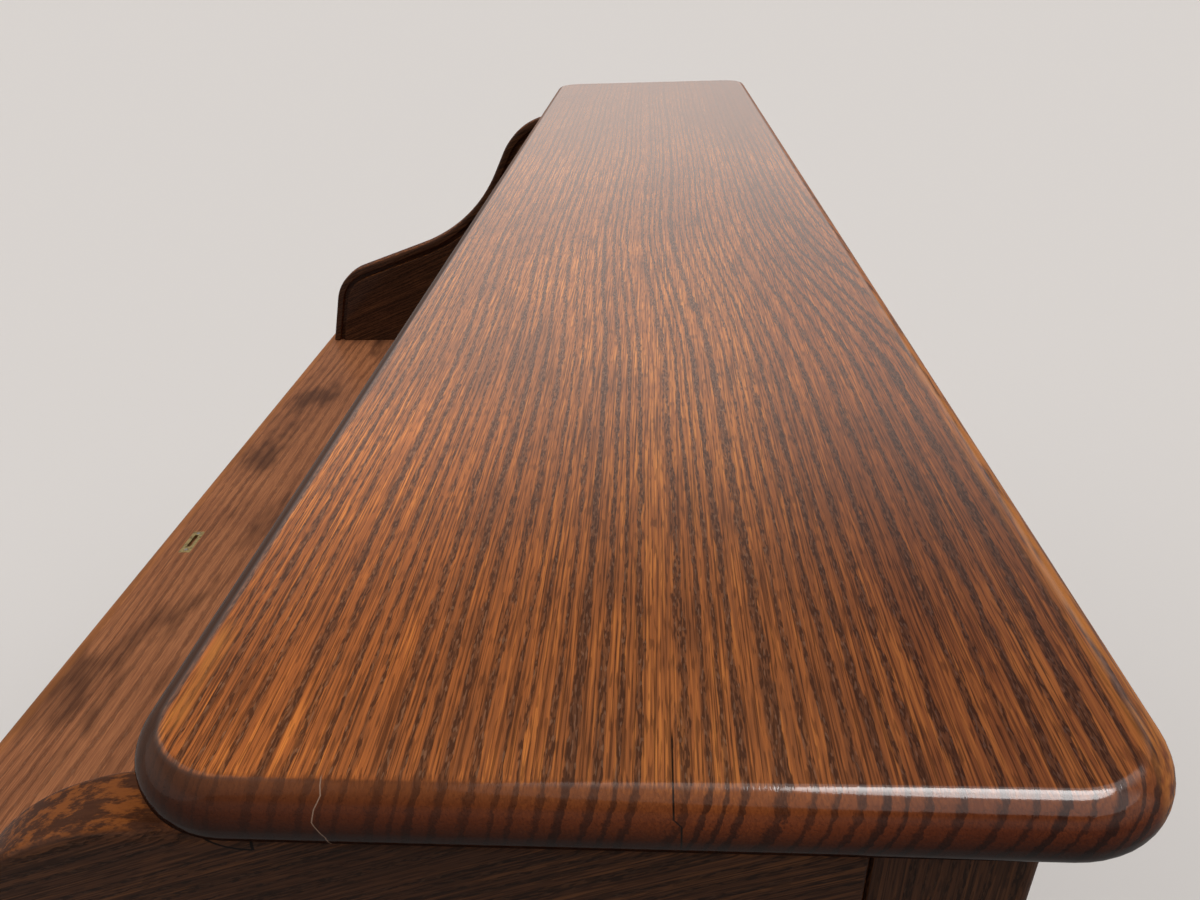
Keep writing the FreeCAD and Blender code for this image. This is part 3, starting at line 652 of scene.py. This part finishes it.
INNER_WOOD = Wood(
    "inner_wood", early=(0.130, 0.070, 0.034), late=(0.270, 0.160, 0.085), streak=(0.400, 0.260, 0.150),
    pore=(0.090, 0.050, 0.025), end=(0.150, 0.085, 0.045), ring=0.0120, ring_depth=0.6, pore_depth=0.4,
    lacquer=0.0,
)
BRASS = Metal("aged_brass", (0.42, 0.32, 0.13), (0.16, 0.11, 0.05), 0.36)
STEEL = Metal("dull_steel", (0.36, 0.34, 0.31), (0.12, 0.10, 0.09), 0.40)
COTTON = Canvas("roll_canvas", (0.42, 0.35, 0.25), (0.22, 0.18, 0.12))


def deselect() -> None:
    """Leave object mode with nothing selected."""
    if bpy.context.object and bpy.context.object.mode != "OBJECT":
        bpy.ops.object.mode_set(mode="OBJECT")
    bpy.ops.object.select_all(action="DESELECT")


def take(item: bpy.types.Object) -> None:
    """Select one object alone and make it the active one.

    Args:
        item: The object.
    """
    deselect()
    item.select_set(True)
    bpy.context.view_layer.objects.active = item


def settle(item: bpy.types.Object, angle: float = 32.0) -> None:
    """Put a piece's place into its mesh, turn its faces outwards and smooth it.

    Args:
        item: The finished piece.
        angle: Edges sharper than this stay crisp, in degrees.
    """
    take(item)
    bpy.ops.object.transform_apply(location=True, rotation=True, scale=True)
    bpy.ops.object.mode_set(mode="EDIT")
    bpy.ops.mesh.select_all(action="SELECT")
    bpy.ops.mesh.remove_doubles(threshold=1e-6)
    bpy.ops.mesh.normals_make_consistent(inside=False)
    bpy.ops.object.mode_set(mode="OBJECT")
    bpy.ops.object.shade_smooth_by_angle(angle=math.radians(angle))


def soften(item: bpy.types.Object, width: float, segments: int, angle: float) -> None:
    """Round a piece's edges with an applied bevel.

    Args:
        item: The piece.
        width: The rounding's width in metres.
        segments: How many steps the rounding has.
        angle: Edges flatter than this are left, in degrees.
    """
    take(item)
    modifier = item.modifiers.new("soft_edges", "BEVEL")
    modifier.width = width
    modifier.segments = segments
    modifier.limit_method = "ANGLE"
    modifier.angle_limit = math.radians(angle)
    bpy.ops.object.modifier_apply(modifier=modifier.name)


def bevel_where(item: bpy.types.Object, wanted: EdgeTest, width: float, segments: int) -> None:
    """Round those of a piece's edges that a test picks.

    Args:
        item: The piece.
        wanted: The test of an edge.
        width: The rounding's width in metres.
        segments: How many steps the rounding has.
    """
    take(item)
    bpy.ops.object.mode_set(mode="EDIT")
    bpy.ops.mesh.select_mode(type="EDGE")
    bpy.ops.mesh.select_all(action="DESELECT")
    bpy.ops.object.mode_set(mode="OBJECT")
    for edge in item.data.edges:
        edge.select = wanted(edge)
    bpy.ops.object.mode_set(mode="EDIT")
    bpy.ops.mesh.bevel(offset=width, segments=segments, affect="EDGES", clamp_overlap=True)
    bpy.ops.object.mode_set(mode="OBJECT")


def round_outward(item: bpy.types.Object, width: float, segments: int = 3, angle: float = 40.0) -> None:
    """Round a piece's sharp outward edges, and leave its grooves and inner corners as they are.

    Args:
        item: The piece.
        width: The rounding's width in metres.
        segments: How many steps the rounding has.
        angle: Edges flatter than this are left, in degrees.
    """
    take(item)
    bpy.ops.object.mode_set(mode="EDIT")
    bpy.ops.mesh.select_all(action="SELECT")
    bpy.ops.mesh.dissolve_limited(angle_limit=math.radians(0.5))
    bpy.ops.object.mode_set(mode="OBJECT")
    beside: dict[tuple[int, int], list[bpy.types.MeshPolygon]] = {}
    for face in item.data.polygons:
        for key in face.edge_keys:
            beside.setdefault(key, []).append(face)

    def outward(edge: bpy.types.MeshEdge) -> bool:
        """Tell whether two faces meet sharply in an edge and fall away from it.

        Args:
            edge: The edge.

        Returns:
            True for a sharp outward edge.
        """
        faces = sorted(beside.get(edge.key, ()), key=lambda face: len(face.vertices))
        if len(faces) != 2 or faces[0].normal.angle(faces[1].normal, 0.0) <= math.radians(angle):
            return False
        corner = item.data.vertices[edge.vertices[0]].co
        return (faces[0].center - corner).dot(faces[1].normal) < 0.0

    bevel_where(item, outward, width, segments)


def box_piece(name: str, low: Vector, high: Vector) -> bpy.types.Object:
    """Start a piece from a cube stretched between two corners.

    Args:
        name: The piece's name.
        low: Its lowest corner.
        high: Its highest corner.

    Returns:
        The piece.
    """
    deselect()
    bpy.ops.mesh.primitive_cube_add(size=1.0, location=(low + high) / 2)
    item = bpy.context.object
    item.name = name
    item.scale = high - low
    bpy.ops.object.transform_apply(location=True, rotation=True, scale=True)
    return item


def finish_piece(
    item: bpy.types.Object, body: str, material: bpy.types.Material, replaced: str,
) -> None:
    """Dress a new piece and tie it to its body.

    Args:
        item: The piece.
        body: The CAD body that it moves with.
        material: Its finish.
        replaced: The CAD node that it stands for.
    """
    take(item)
    modifier = item.modifiers.new("flat_faces", "WEIGHTED_NORMAL")
    modifier.keep_sharp = True
    bpy.ops.object.modifier_apply(modifier=modifier.name)
    item.data.materials.clear()
    item.data.materials.append(material)
    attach(item, body)
    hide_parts(replaced)
    LOG.info("%s on %s", item.name, body)


def smooth_copy(
    node: str, body: str, material: bpy.types.Material, soft: float = 0.0,
) -> None:
    """Replace a CAD node by a merged copy of it with smooth round faces and softened edges.

    Args:
        node: The CAD node.
        body: The body that carries it.
        material: Its finish.
        soft: The rounding of its edges in metres, or 0 for none.
    """
    copy = bpy.data.objects.new(node + "_dressed", frame["nodes"][node].data.copy())
    bpy.context.scene.collection.objects.link(copy)
    settle(copy)
    if soft:
        round_outward(copy, soft)
        settle(copy)
    finish_piece(copy, body, material, node)


def stile_places(low: float, high: float, count: int, width: float) -> list[tuple[float, float]]:
    """Where a frame's stiles stand.

    Args:
        low: The frame's one end.
        high: Its other end.
        count: How many stiles it has.
        width: How wide a stile is.

    Returns:
        Each stile's two edges.
    """
    step = (high - low - width) / (count - 1)
    return [(low + step * index, low + step * index + width) for index in range(count)]


def dress(node: str, material: bpy.types.Material) -> None:
    """Give a CAD node that stays its finish.

    Args:
        node: The CAD node.
        material: Its finish.
    """
    data = frame["nodes"][node].data
    data.materials.clear()
    data.materials.append(material)
    LOG.info("%s kept", node)


@dataclass(frozen=True)
class Crack:
    """A shrinkage crack down the board's end: where it starts and how far it strays on its way down."""

    start: float
    strays: tuple[tuple[float, float], ...]
    run_in: float
    width: float
    colour: Colour

    def mask(self, graph: NodeGraph, y: Socket, down: Socket) -> Socket:
        """A mask of the crack's line.

        Args:
            graph: The material's nodes.
            y: The place along the board's end.
            down: The way down its thickness, from 0 to 1.

        Returns:
            1 on the line and 0 beside it.
        """
        reach = 10 * MM
        shares = [(place, 0.5 + stray / reach) for place, stray in self.strays]
        line = graph.ramp(down, [(place, (share, share, share)) for place, share in shares])
        along = graph.math("SUBTRACT", y, self.start - reach / 2)
        beside = graph.math("SUBTRACT", along, graph.math("MULTIPLY", line, reach))
        return graph.spread(graph.math("ABSOLUTE", beside), 0.3 * self.width, self.width, 1.0, 0.0)


@dataclass
class TopBoard:
    """The long top board with its rounded edges, its wear, its painted shade and glare, and the shrinkage
    cracks in its near end.
    """

    corner: float = 38 * MM
    edge: float = 11.8 * MM
    corner_steps: int = 14
    edge_steps: int = 8
    # Grime with painted shade on the rounded edge, strongest along the front side.
    edge_grime_and_shade: Colour = (0.062, 0.024, 0.013)
    handled: Colour = (0.024, 0.011, 0.007)
    # Painted shade under the board's lower rounding.
    underside_shade: Colour = (0.012, 0.005, 0.003)
    # The next three colours paint glare over the far stretch and shade on its back half.
    far_painted_glare: Colour = (1.72, 1.88, 2.05)
    shade: Colour = (0.72, 0.66, 0.60)
    far_painted_haze: Colour = (0.33, 0.165, 0.105)
    end_dim: Colour = (0.56, 0.41, 0.38)
    corner_glow: Colour = (1.35, 1.25, 1.08)
    back_dim: Colour = (0.78, 0.69, 0.62)
    back_cool: Colour = (0.80, 0.84, 1.06)
    rubbed_front: Colour = (0.56, 0.20, 0.040)
    rubbed_back: Colour = (0.50, 0.17, 0.030)
    rub_waves: Waves = (25.0, 300.0, 300.0)
    cracks: tuple[Crack, ...] = (
        Crack(
            150.8 * MM,
            (
                (0.0, 0.0), (0.09, 1.1 * MM), (0.20, -0.5 * MM), (0.34, -1.2 * MM), (0.58, 1.9 * MM),
                (1.0, 2.5 * MM),
            ),
            11 * MM, 0.3 * MM, (0.26, 0.16, 0.11),
        ),
        Crack(
            252.5 * MM, ((0.0, 0.0), (0.22, 0.1 * MM), (0.29, 2.3 * MM), (1.0, 2.3 * MM)),
            32 * MM, 0.4 * MM, (0.010, 0.006, 0.004),
        ),
    )

    def build(self) -> None:
        """Model the board and dress it."""
        low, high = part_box("top_board")
        item = box_piece("top_board_dressed", low, high)

        def upright(edge: bpy.types.MeshEdge) -> bool:
            """Whether the edge stands at one of the board's corners."""
            first, last = (item.data.vertices[index].co for index in edge.vertices)
            return abs(first.z - last.z) > (high.z - low.z) / 2

        bevel_where(item, upright, self.corner, self.corner_steps)
        soften(item, self.edge, self.edge_steps, 60.0)
        settle(item)
        material = TOP_OAK.material("board", Grain.ALONG_X, wear=self.wear)
        finish_piece(item, "carcass", material, "top_board")

    def wear(self, surface: Surface) -> None:
        """Soil and shade the edge, polish, paint glare and tone, rub and crack the board.

        Args:
            surface: The board's finish so far.
        """
        self.soil_edge(surface)
        self.polish(surface)
        self.paint_glare_and_tone(surface)
        self.rub(surface)
        self.crack_end(surface)

    def soil_edge(self, surface: Surface) -> None:
        """Darken the rounded edge with grime and painted shade, most on the front side and at the front
        corner where hands hold it, and paint shade underneath.

        Args:
            surface: The board's finish so far.
        """
        graph = surface.graph
        low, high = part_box("top_board")
        _, y, z = graph.parts(surface.place)
        # Grime with painted shade on the rounded edge, strongest along the front side.
        rim = graph.spread(z, high.z - 0.5 * MM, high.z - 0.05 * MM, 1.0, 0.0)
        front = graph.spread(y, low.y + 30 * MM, high.y - 80 * MM, 0.85, 0.10)
        surface.tint(graph.math("MULTIPLY", rim, front), self.edge_grime_and_shade)
        corner = graph.spread(y, low.y + 15 * MM, low.y + 55 * MM, 0.75, 0.0)
        surface.tint(graph.math("MULTIPLY", rim, corner), self.handled)
        # Painted shade: the lower rounding darkened almost to black, where little light reaches.
        shade_below = graph.spread(z, low.z + 9 * MM, high.z - 5 * MM, 1.0, 0.0)
        surface.tint(graph.math("MULTIPLY", shade_below, 0.85), self.underside_shade)

    def polish(self, surface: Surface) -> None:
        """Leave the lacquer whole on the flat, thin on the edge and better on the near arris.

        Args:
            surface: The board's finish so far.
        """
        graph = surface.graph
        low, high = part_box("top_board")
        x, y, z = graph.parts(surface.place)
        arris = graph.spread(x, high.x - 14 * MM, high.x - 9 * MM)
        arris = graph.math("MULTIPLY", arris, graph.spread(z, high.z - 8 * MM, high.z - 2 * MM))
        kept = graph.spread(y, low.y + 140 * MM, low.y + 270 * MM, 0.0, 0.72)
        arris = graph.math("MULTIPLY", arris, kept)
        edge = graph.spread(z, high.z - 0.8 * MM, high.z - 0.05 * MM, 0.22, 1.0)
        surface.lacquer = graph.math("MAXIMUM", edge, arris)

    def paint_glare_and_tone(self, surface: Surface) -> None:
        """Paint glare over the far stretch, with painted shade on its back half, brighten the front corner,
        and deepen the back strip and the end faces.

        Args:
            surface: The board's finish so far.
        """
        graph = surface.graph
        low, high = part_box("top_board")
        x, y, _ = graph.parts(surface.place)
        # Painted glare: the far stretch brightened and greyed as a pale reflection in the lacquer, with
        # painted shade on its back half.
        glare_reach = graph.spread(x, high.x - 420 * MM, high.x - 90 * MM, 1.0, 0.0)
        surface.tint(glare_reach, self.far_painted_glare, "MULTIPLY")
        shaded = graph.math("MULTIPLY", glare_reach, graph.spread(y, low.y + 60 * MM, high.y - 30 * MM))
        surface.tint(shaded, self.shade, "MULTIPLY")
        # Painted glare: a pale haze mixed in over the far end.
        surface.tint(graph.spread(x, -0.45, 0.20, 0.55, 0.0), self.far_painted_haze)
        end_face = graph.spread(graph.math("ABSOLUTE", graph.parts(surface.normal)[0]), 0.30, 0.92)
        surface.tint(end_face, self.end_dim, "MULTIPLY")

        corner = (high.x - 90 * MM, low.y + 45 * MM, high.z)
        away = graph.vector("SUBTRACT", surface.place, corner).outputs[0]
        away = graph.vector("LENGTH", graph.stretched(away, (0.4, 1.0, 1.0))).outputs["Value"]
        surface.tint(graph.spread(away, 20 * MM, 120 * MM, 1.0, 0.0), self.corner_glow, "MULTIPLY")
        strip = graph.spread(y, high.y - 125 * MM, high.y - 55 * MM)
        strip = graph.math("MULTIPLY", strip, graph.spread(x, 0.05, 0.45))
        surface.tint(strip, self.back_dim, "MULTIPLY")
        strip = graph.math("MULTIPLY", strip, graph.spread(x, high.x - 260 * MM, high.x - 60 * MM))
        surface.tint(strip, self.back_cool, "MULTIPLY")

    def rub(self, surface: Surface) -> None:
        """Rub the front corner and the back edge through to orange wood.

        Args:
            surface: The board's finish so far.
        """
        graph = surface.graph
        low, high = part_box("top_board")
        x, y, _ = graph.parts(surface.place)
        patchy = graph.noise(surface.place, self.rub_waves, 2.0)
        front = graph.band(y, low.y + self.edge + 2 * MM, low.y + self.edge + 5 * MM, 3 * MM)
        front = graph.math("MULTIPLY", front, graph.band(x, high.x - 66 * MM, high.x - 36 * MM, 15 * MM))
        front = graph.math("MULTIPLY", front, graph.spread(patchy, 0.35, 0.60, 0.2, 0.60))
        surface.tint(front, self.rubbed_front)
        back = graph.spread(y, high.y - 16 * MM, high.y - 8 * MM)
        back = graph.math("MULTIPLY", back, graph.spread(patchy, 0.35, 0.60, 0.0, 0.75))
        surface.tint(graph.math("MULTIPLY", back, graph.spread(x, 0.1, 0.5)), self.rubbed_back)

    def crack_end(self, surface: Surface) -> None:
        """Draw the shrinkage cracks down the near end.

        Args:
            surface: The board's finish so far.
        """
        graph = surface.graph
        low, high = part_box("top_board")
        x, y, z = graph.parts(surface.place)
        down = graph.math("DIVIDE", graph.math("SUBTRACT", high.z, z), high.z - low.z)
        for crack in self.cracks:
            near_end = graph.spread(x, high.x - crack.run_in, high.x - 0.8 * crack.run_in)
            mask = graph.math("MULTIPLY", crack.mask(graph, y, down), near_end)
            surface.tint(mask, crack.colour)
            surface.sink(mask, 2.0)


@dataclass
class RollCase:
    """The S-shaped ends, back stiles, cleats and upper back."""

    edge_soft: float = 2.0 * MM
    frame_soft: float = 1.0 * MM
    member: float = 70 * MM
    grain_tilt: float = -22.0
    worn: Colour = (0.070, 0.023, 0.009)
    rubbed: Colour = (0.27, 0.080, 0.017)
    rub_waves: Waves = (230.0, 70.0, 230.0)
    split_colour: Colour = (0.006, 0.003, 0.002)
    split_face: float = 0.730
    split_foot: tuple[float, float] = (0.1128, 1.1678)
    split_start: float = 0.0970
    split_top: float = 1.1720
    split_bow: float = 18.5

    def build(self) -> None:
        """Dress the ends and the back."""
        for side, shift in (("left", 0.0), ("right", 0.31)):
            offset = (shift, 0.2, 0.0)
            panel = END_OAK.material(f"{side}_end", Grain.ALONG_Y, offset, self.wear, self.grain_tilt)
            smooth_copy(f"{side}_end_panel", "carcass", panel, self.edge_soft)
            stile = END_OAK.material(f"{side}_stile", Grain.ALONG_Z, (shift, 0.1, 0.3))
            smooth_copy(f"{side}_back_stile", "carcass", stile, self.frame_soft)
        low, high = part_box("upper_back_frame")
        stiles = stile_places(low.x, high.x, 4, self.member)
        rails = CASE_OAK.material("upper_back", Grain.ALONG_X, (0.1, 0.3, 0.1), stiles=stiles)
        smooth_copy("upper_back_frame", "carcass", rails, self.frame_soft)
        dress("top_cleats", CASE_OAK.material("cleats", Grain.ALONG_Y, (0.2, 0.3, 0.1)))
        dress("upper_back_panel", CASE_OAK.material("fields", Grain.ALONG_Z, (0.4, 0.1, 0.2)))

    def wear(self, surface: Surface) -> None:
        """Rub the polish through to orange wood along the S edges.

        Args:
            surface: The end panel's finish so far.
        """
        graph = surface.graph
        sideways = graph.math("ABSOLUTE", graph.parts(surface.normal)[0])
        edge = graph.spread(sideways, 0.2, 0.8, 1.0, 0.0)
        patchy = graph.noise(surface.place, self.rub_waves, 5.0, 0.68)
        surface.tint(graph.math("MULTIPLY", edge, 0.7), self.worn)
        patches = graph.math("MULTIPLY", edge, graph.spread(patchy, 0.46, 0.60, 0.0, 0.75))
        surface.tint(patches, self.rubbed)
        self.split(surface)

    def split(self, surface: Surface) -> None:
        """Draw the short hooked split under the top board, on the right-hand end's outer face.

        Args:
            surface: The end panel's finish so far.
        """
        graph = surface.graph
        x, y, z = graph.parts(surface.place)
        outside = graph.spread(x, self.split_face - 0.5 * MM, self.split_face + 0.5 * MM)
        foot_y, foot_z = self.split_foot
        before = graph.math("SUBTRACT", foot_y, y)
        rise = graph.math("MULTIPLY_ADD", graph.math("MULTIPLY", before, before), self.split_bow, foot_z)
        hook = graph.math("ABSOLUTE", graph.math("SUBTRACT", z, rise))
        hook = graph.spread(hook, 0.25 * MM, 0.6 * MM, 1.0, 0.0)
        span = graph.band(y, self.split_start, foot_y + 0.2 * MM, 0.5 * MM)
        hook = graph.math("MULTIPLY", hook, span)
        tick = graph.band(y, foot_y + 0.3 * MM, foot_y + 1.1 * MM, 0.3 * MM)
        tick = graph.math("MULTIPLY", tick, graph.band(z, foot_z, self.split_top, 0.3 * MM))
        mask = graph.math("MULTIPLY", graph.math("MAXIMUM", hook, tick), outside)
        surface.tint(mask, self.split_colour)


@dataclass
class WritingTop:
    """The writing surface and the strike plate let into it."""

    smudge: Colour = (0.045, 0.019, 0.012)
    smudge_waves: Waves = (6.0, 16.0, 16.0)
    rubbed: Colour = (0.36, 0.13, 0.040)

    def build(self) -> None:
        """Dress the writing top and its fittings."""
        wood = WRITING_WOOD.material("board", Grain.ALONG_X, wear=self.wear)
        smooth_copy("writing_top", "carcass", wood)
        dress("strike_plate", BRASS.material())
        dress("strike_screws", STEEL.material())

    def wear(self, surface: Surface) -> None:
        """Darken the handled places and rub the front edge.

        Args:
            surface: The writing top's finish so far.
        """
        graph = surface.graph
        low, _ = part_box("writing_top")
        y = graph.parts(surface.place)[1]
        smudge = graph.noise(surface.place, self.smudge_waves, 3.0, 0.6)
        surface.tint(graph.spread(smudge, 0.50, 0.68, 0.0, 0.7), self.smudge)
        front = graph.band(y, low.y + 4 * MM, low.y + 12 * MM, 6 * MM)
        surface.tint(graph.math("MULTIPLY", front, 0.5), self.rubbed)


@dataclass
class Roll:
    """Lift rail, slats, canvas and lock."""

    turning_slats: int = 4

    def build(self) -> None:
        """Dress the roll's pieces."""
        wood = TOP_OAK.material("slats", Grain.ALONG_X, (0.2, -0.35, -0.1))
        bodies = frame["record"]["behaviour"]["bodies"]
        brass = BRASS.material()
        steel = STEEL.material()
        cotton = COTTON.material()
        turning = [f"turning_slat_{index + 1}" for index in range(self.turning_slats)]
        for body in ["roll_front", "roll_back", "lock_bolt"] + turning:
            for node in bodies[body]:
                if "slat" in node or node == "lift_rail":
                    smooth_copy(node, body, wood)
                elif "canvas" in node:
                    dress(node, cotton)
                elif node == "lock_bolt":
                    dress(node, steel)
                else:
                    smooth_copy(node, body, brass)


@dataclass
class Gallery:
    """Pigeonholes and their two small drawers."""

    edge_soft: float = 0.7 * MM

    def build(self) -> None:
        """Dress the gallery."""
        along = CASE_OAK.material("gallery", Grain.ALONG_X, (0.3, 0.2, 0.5))
        upright = CASE_OAK.material("partitions", Grain.ALONG_Z, (0.1, 0.6, 0.5))
        for name, wood in (("case", along), ("shelf", along), ("partitions", upright)):
            smooth_copy(f"gallery_{name}", "carcass", wood, self.edge_soft)
        for side in ("left", "right"):
            drawer = f"gallery_{side}_drawer"
            smooth_copy(drawer, drawer, along, self.edge_soft)


@dataclass
class Pedestals:
    """The two pedestals, the lower back and the drawers."""

    edge_soft: float = 1.2 * MM
    end_member: float = 80 * MM
    back_member: float = 70 * MM

    def build(self) -> None:
        """Dress the lower case and every drawer."""
        upright = CASE_OAK.material("pedestal_ends", Grain.ALONG_Z, (0.2, 0.2, 0.7))
        along = CASE_OAK.material("pedestal_rails", Grain.ALONG_X, (0.6, 0.2, 0.1))
        inner = INNER_WOOD.material("boards", Grain.ALONG_Y)
        for side in ("left", "right"):
            low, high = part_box(f"{side}_pedestal_end")
            stiles = stile_places(low.y, high.y, 3, self.end_member)
            end = CASE_OAK.material(f"{side}_pedestal_end", Grain.ALONG_Y, (0.2, 0.2, 0.7), stiles=stiles)
            smooth_copy(f"{side}_pedestal_end", "carcass", end, self.edge_soft)
            smooth_copy(f"{side}_plinth", "carcass", along, self.edge_soft)
            dress(f"{side}_inner_side", upright)
        low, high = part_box("lower_back_frame")
        stiles = stile_places(low.x, high.x, 4, self.back_member)
        back = CASE_OAK.material("lower_back", Grain.ALONG_X, (0.5, 0.2, 0.4), stiles=stiles)
        smooth_copy("lower_back_frame", "carcass", back, self.edge_soft)
        for node in ("pedestal_end_fields", "lower_back_panel", "kneehole_back"):
            dress(node, upright)
        for node in ("drawer_rails", "pedestal_floors"):
            dress(node, along)
        dress("drawer_runners", inner)
        drawers = [body for body in frame["bodies"] if body.endswith("_drawer")]
        names = [body for body in drawers if not body.startswith("gallery")]
        for index, name in enumerate(names):
            front = CASE_OAK.material(name, Grain.ALONG_X, (0.37 * index, 0.11 * index, 0.05 * index))
            smooth_copy(f"{name}_front", name, front, self.edge_soft)
            dress(f"{name}_box", inner)
            smooth_copy(f"{name}_pulls", name, front)


@dataclass(frozen=True)
class Lamp:
    """A broad far lamp that stands in the direction towards, as seen from the desk.

    Its breadth is in degrees. Where it is glossy_only, it shows in polished surfaces and lights nothing else.
    """

    name: str
    towards: tuple[float, float, float]
    breadth: float
    strength: float
    glossy_only: bool = False

    def hang(self) -> None:
        """Hang the lamp in the scene."""
        data = bpy.data.lights.new(self.name, "SUN")
        data.angle = math.radians(self.breadth)
        data.energy = self.strength
        lamp = bpy.data.objects.new(self.name, data)
        bpy.context.scene.collection.objects.link(lamp)
        lamp.rotation_euler = Vector(self.towards).to_track_quat("Z", "Y").to_euler()
        lamp.visible_diffuse = not self.glossy_only


@dataclass
class Studio:
    """Pale floor, soft light and the camera at the photograph's angle."""

    eye: Vector = field(default_factory=lambda: Vector((917.6, 247.3, 1426.5)) * MM)
    yaw: float = 3.99
    pitch: float = 29.43
    roll: float = -2.04
    lens: float = 26.73
    sensor: float = 36.0
    floor_half: float = 60.0
    pale: Colour = (0.69, 0.655, 0.63)
    floor_bounce: Colour = (0.22, 0.20, 0.19)
    ambient: float = 0.36
    glow: tuple[float, float, float, float] = (0.10, 0.22, 0.40, 0.68)
    glow_gain: tuple[float, float, float] = (1.02, 1.32, 0.10)
    even_light: Colour = (1.0, 0.985, 0.97)
    lamps: tuple[Lamp, ...] = (
        Lamp("key_lamp", (0.05, 0.38, 0.92), 70.0, 1.75),
        Lamp("fill_lamp", (0.10, -0.80, 0.60), 70.0, 0.68),
        Lamp("window_glint", (-0.22, 0.35, 0.91), 26.0, 2.8, glossy_only=True),
    )

    def build(self) -> None:
        """Set the stage."""
        bpy.context.scene.view_settings.view_transform = "Standard"
        self.floor()
        self.surround()
        for lamp in self.lamps:
            lamp.hang()
        self.camera()

    def floor(self) -> None:
        """Lay the pale floor."""
        deselect()
        bpy.ops.mesh.primitive_plane_add(size=2 * self.floor_half, location=(0.0, 0.0, 0.0))
        item = bpy.context.object
        item.name = "studio_floor"
        graph = NodeGraph("pale_floor")
        path = graph.add("LightPath").outputs
        seen = graph.math("MAXIMUM", path["Is Camera Ray"], path["Is Glossy Ray"])
        seen = graph.math("MAXIMUM", seen, path["Is Transmission Ray"])
        graph.put(graph.shader.inputs["Base Color"], graph.mix(seen, self.floor_bounce, self.pale))
        graph.put(graph.shader.inputs["Roughness"], 1.0)
        graph.put(graph.shader.inputs["Specular IOR Level"], 0.0)
        item.data.materials.append(graph.material)

    def surround(self) -> None:
        """Set a pale surround that lights the object evenly.

        Polished surfaces reflect it as a bright wall under a dim ceiling.
        """
        world = bpy.data.worlds.new("pale_surround")
        bpy.context.scene.world = world
        world.use_nodes = True
        nodes, links = world.node_tree.nodes, world.node_tree.links
        seen = nodes["Background"]
        seen.inputs["Color"].default_value = (*self.pale, 1.0)
        direction = nodes.new("ShaderNodeSeparateXYZ")
        links.new(nodes.new("ShaderNodeTexCoord").outputs["Generated"], direction.inputs[0])
        path = nodes.new("ShaderNodeLightPath")
        foot, wall, ceiling = self.glow_gain
        gain = nodes.new("ShaderNodeMath")
        gain.operation = "MULTIPLY"
        slopes = ((self.glow[:2], (foot / wall, 1.0)), (self.glow[2:], (wall, ceiling)))
        for place, (span, ends) in enumerate(slopes):
            slope = nodes.new("ShaderNodeMapRange")
            slope.interpolation_type = "SMOOTHSTEP"
            for socket, number in zip(slope.inputs[1:5], (*span, *ends)):
                socket.default_value = number
            links.new(direction.outputs["Z"], slope.inputs[0])
            links.new(slope.outputs[0], gain.inputs[place])
        strength = nodes.new("ShaderNodeMix")
        strength.inputs[2].default_value = 1.0
        links.new(path.outputs["Is Glossy Ray"], strength.inputs[0])
        links.new(gain.outputs[0], strength.inputs[3])
        links.new(strength.outputs[0], seen.inputs["Strength"])
        even = nodes.new("ShaderNodeBackground")
        even.inputs["Color"].default_value = (*self.even_light, 1.0)
        even.inputs["Strength"].default_value = self.ambient
        rays = path.outputs["Is Camera Ray"]
        for name in ("Is Glossy Ray", "Is Transmission Ray"):
            either = nodes.new("ShaderNodeMath")
            either.operation = "MAXIMUM"
            links.new(rays, either.inputs[0])
            links.new(path.outputs[name], either.inputs[1])
            rays = either.outputs[0]
        choice = nodes.new("ShaderNodeMixShader")
        links.new(rays, choice.inputs[0])
        links.new(even.outputs[0], choice.inputs[1])
        links.new(seen.outputs[0], choice.inputs[2])
        links.new(choice.outputs[0], nodes["World Output"].inputs["Surface"])

    def camera(self) -> None:
        """Stand the camera where the photograph was taken."""
        data = bpy.data.cameras.new("photo_camera")
        data.sensor_fit = "HORIZONTAL"
        data.sensor_width = self.sensor
        data.lens = self.lens
        data.clip_start = 0.01
        data.clip_end = 200.0
        camera = bpy.data.objects.new("photo_camera", data)
        bpy.context.scene.collection.objects.link(camera)
        level = Matrix(((0, 1, 0), (0, 0, -1), (-1, 0, 0)))
        turn = Matrix.Rotation(math.radians(self.yaw), 3, "Z").transposed()
        dip = Matrix.Rotation(math.radians(self.pitch), 3, "X")
        tilt = Matrix.Rotation(math.radians(self.roll), 3, "Z")
        right, down, ahead = tilt @ dip @ level @ turn
        facing = Matrix((right, -down, -ahead)).transposed()
        camera.matrix_world = Matrix.Translation(self.eye) @ facing.to_4x4()
        bpy.context.scene.camera = camera


def main() -> None:
    """Build every sub-assembly and the studio."""
    logging.basicConfig(level=logging.INFO, format="%(message)s")
    for part in (TopBoard(), RollCase(), WritingTop(), Roll(), Gallery(), Pedestals(), Studio()):
        LOG.info("building %s", type(part).__name__)
        part.build()
    deselect()


if __name__ == "__main__":
    main()
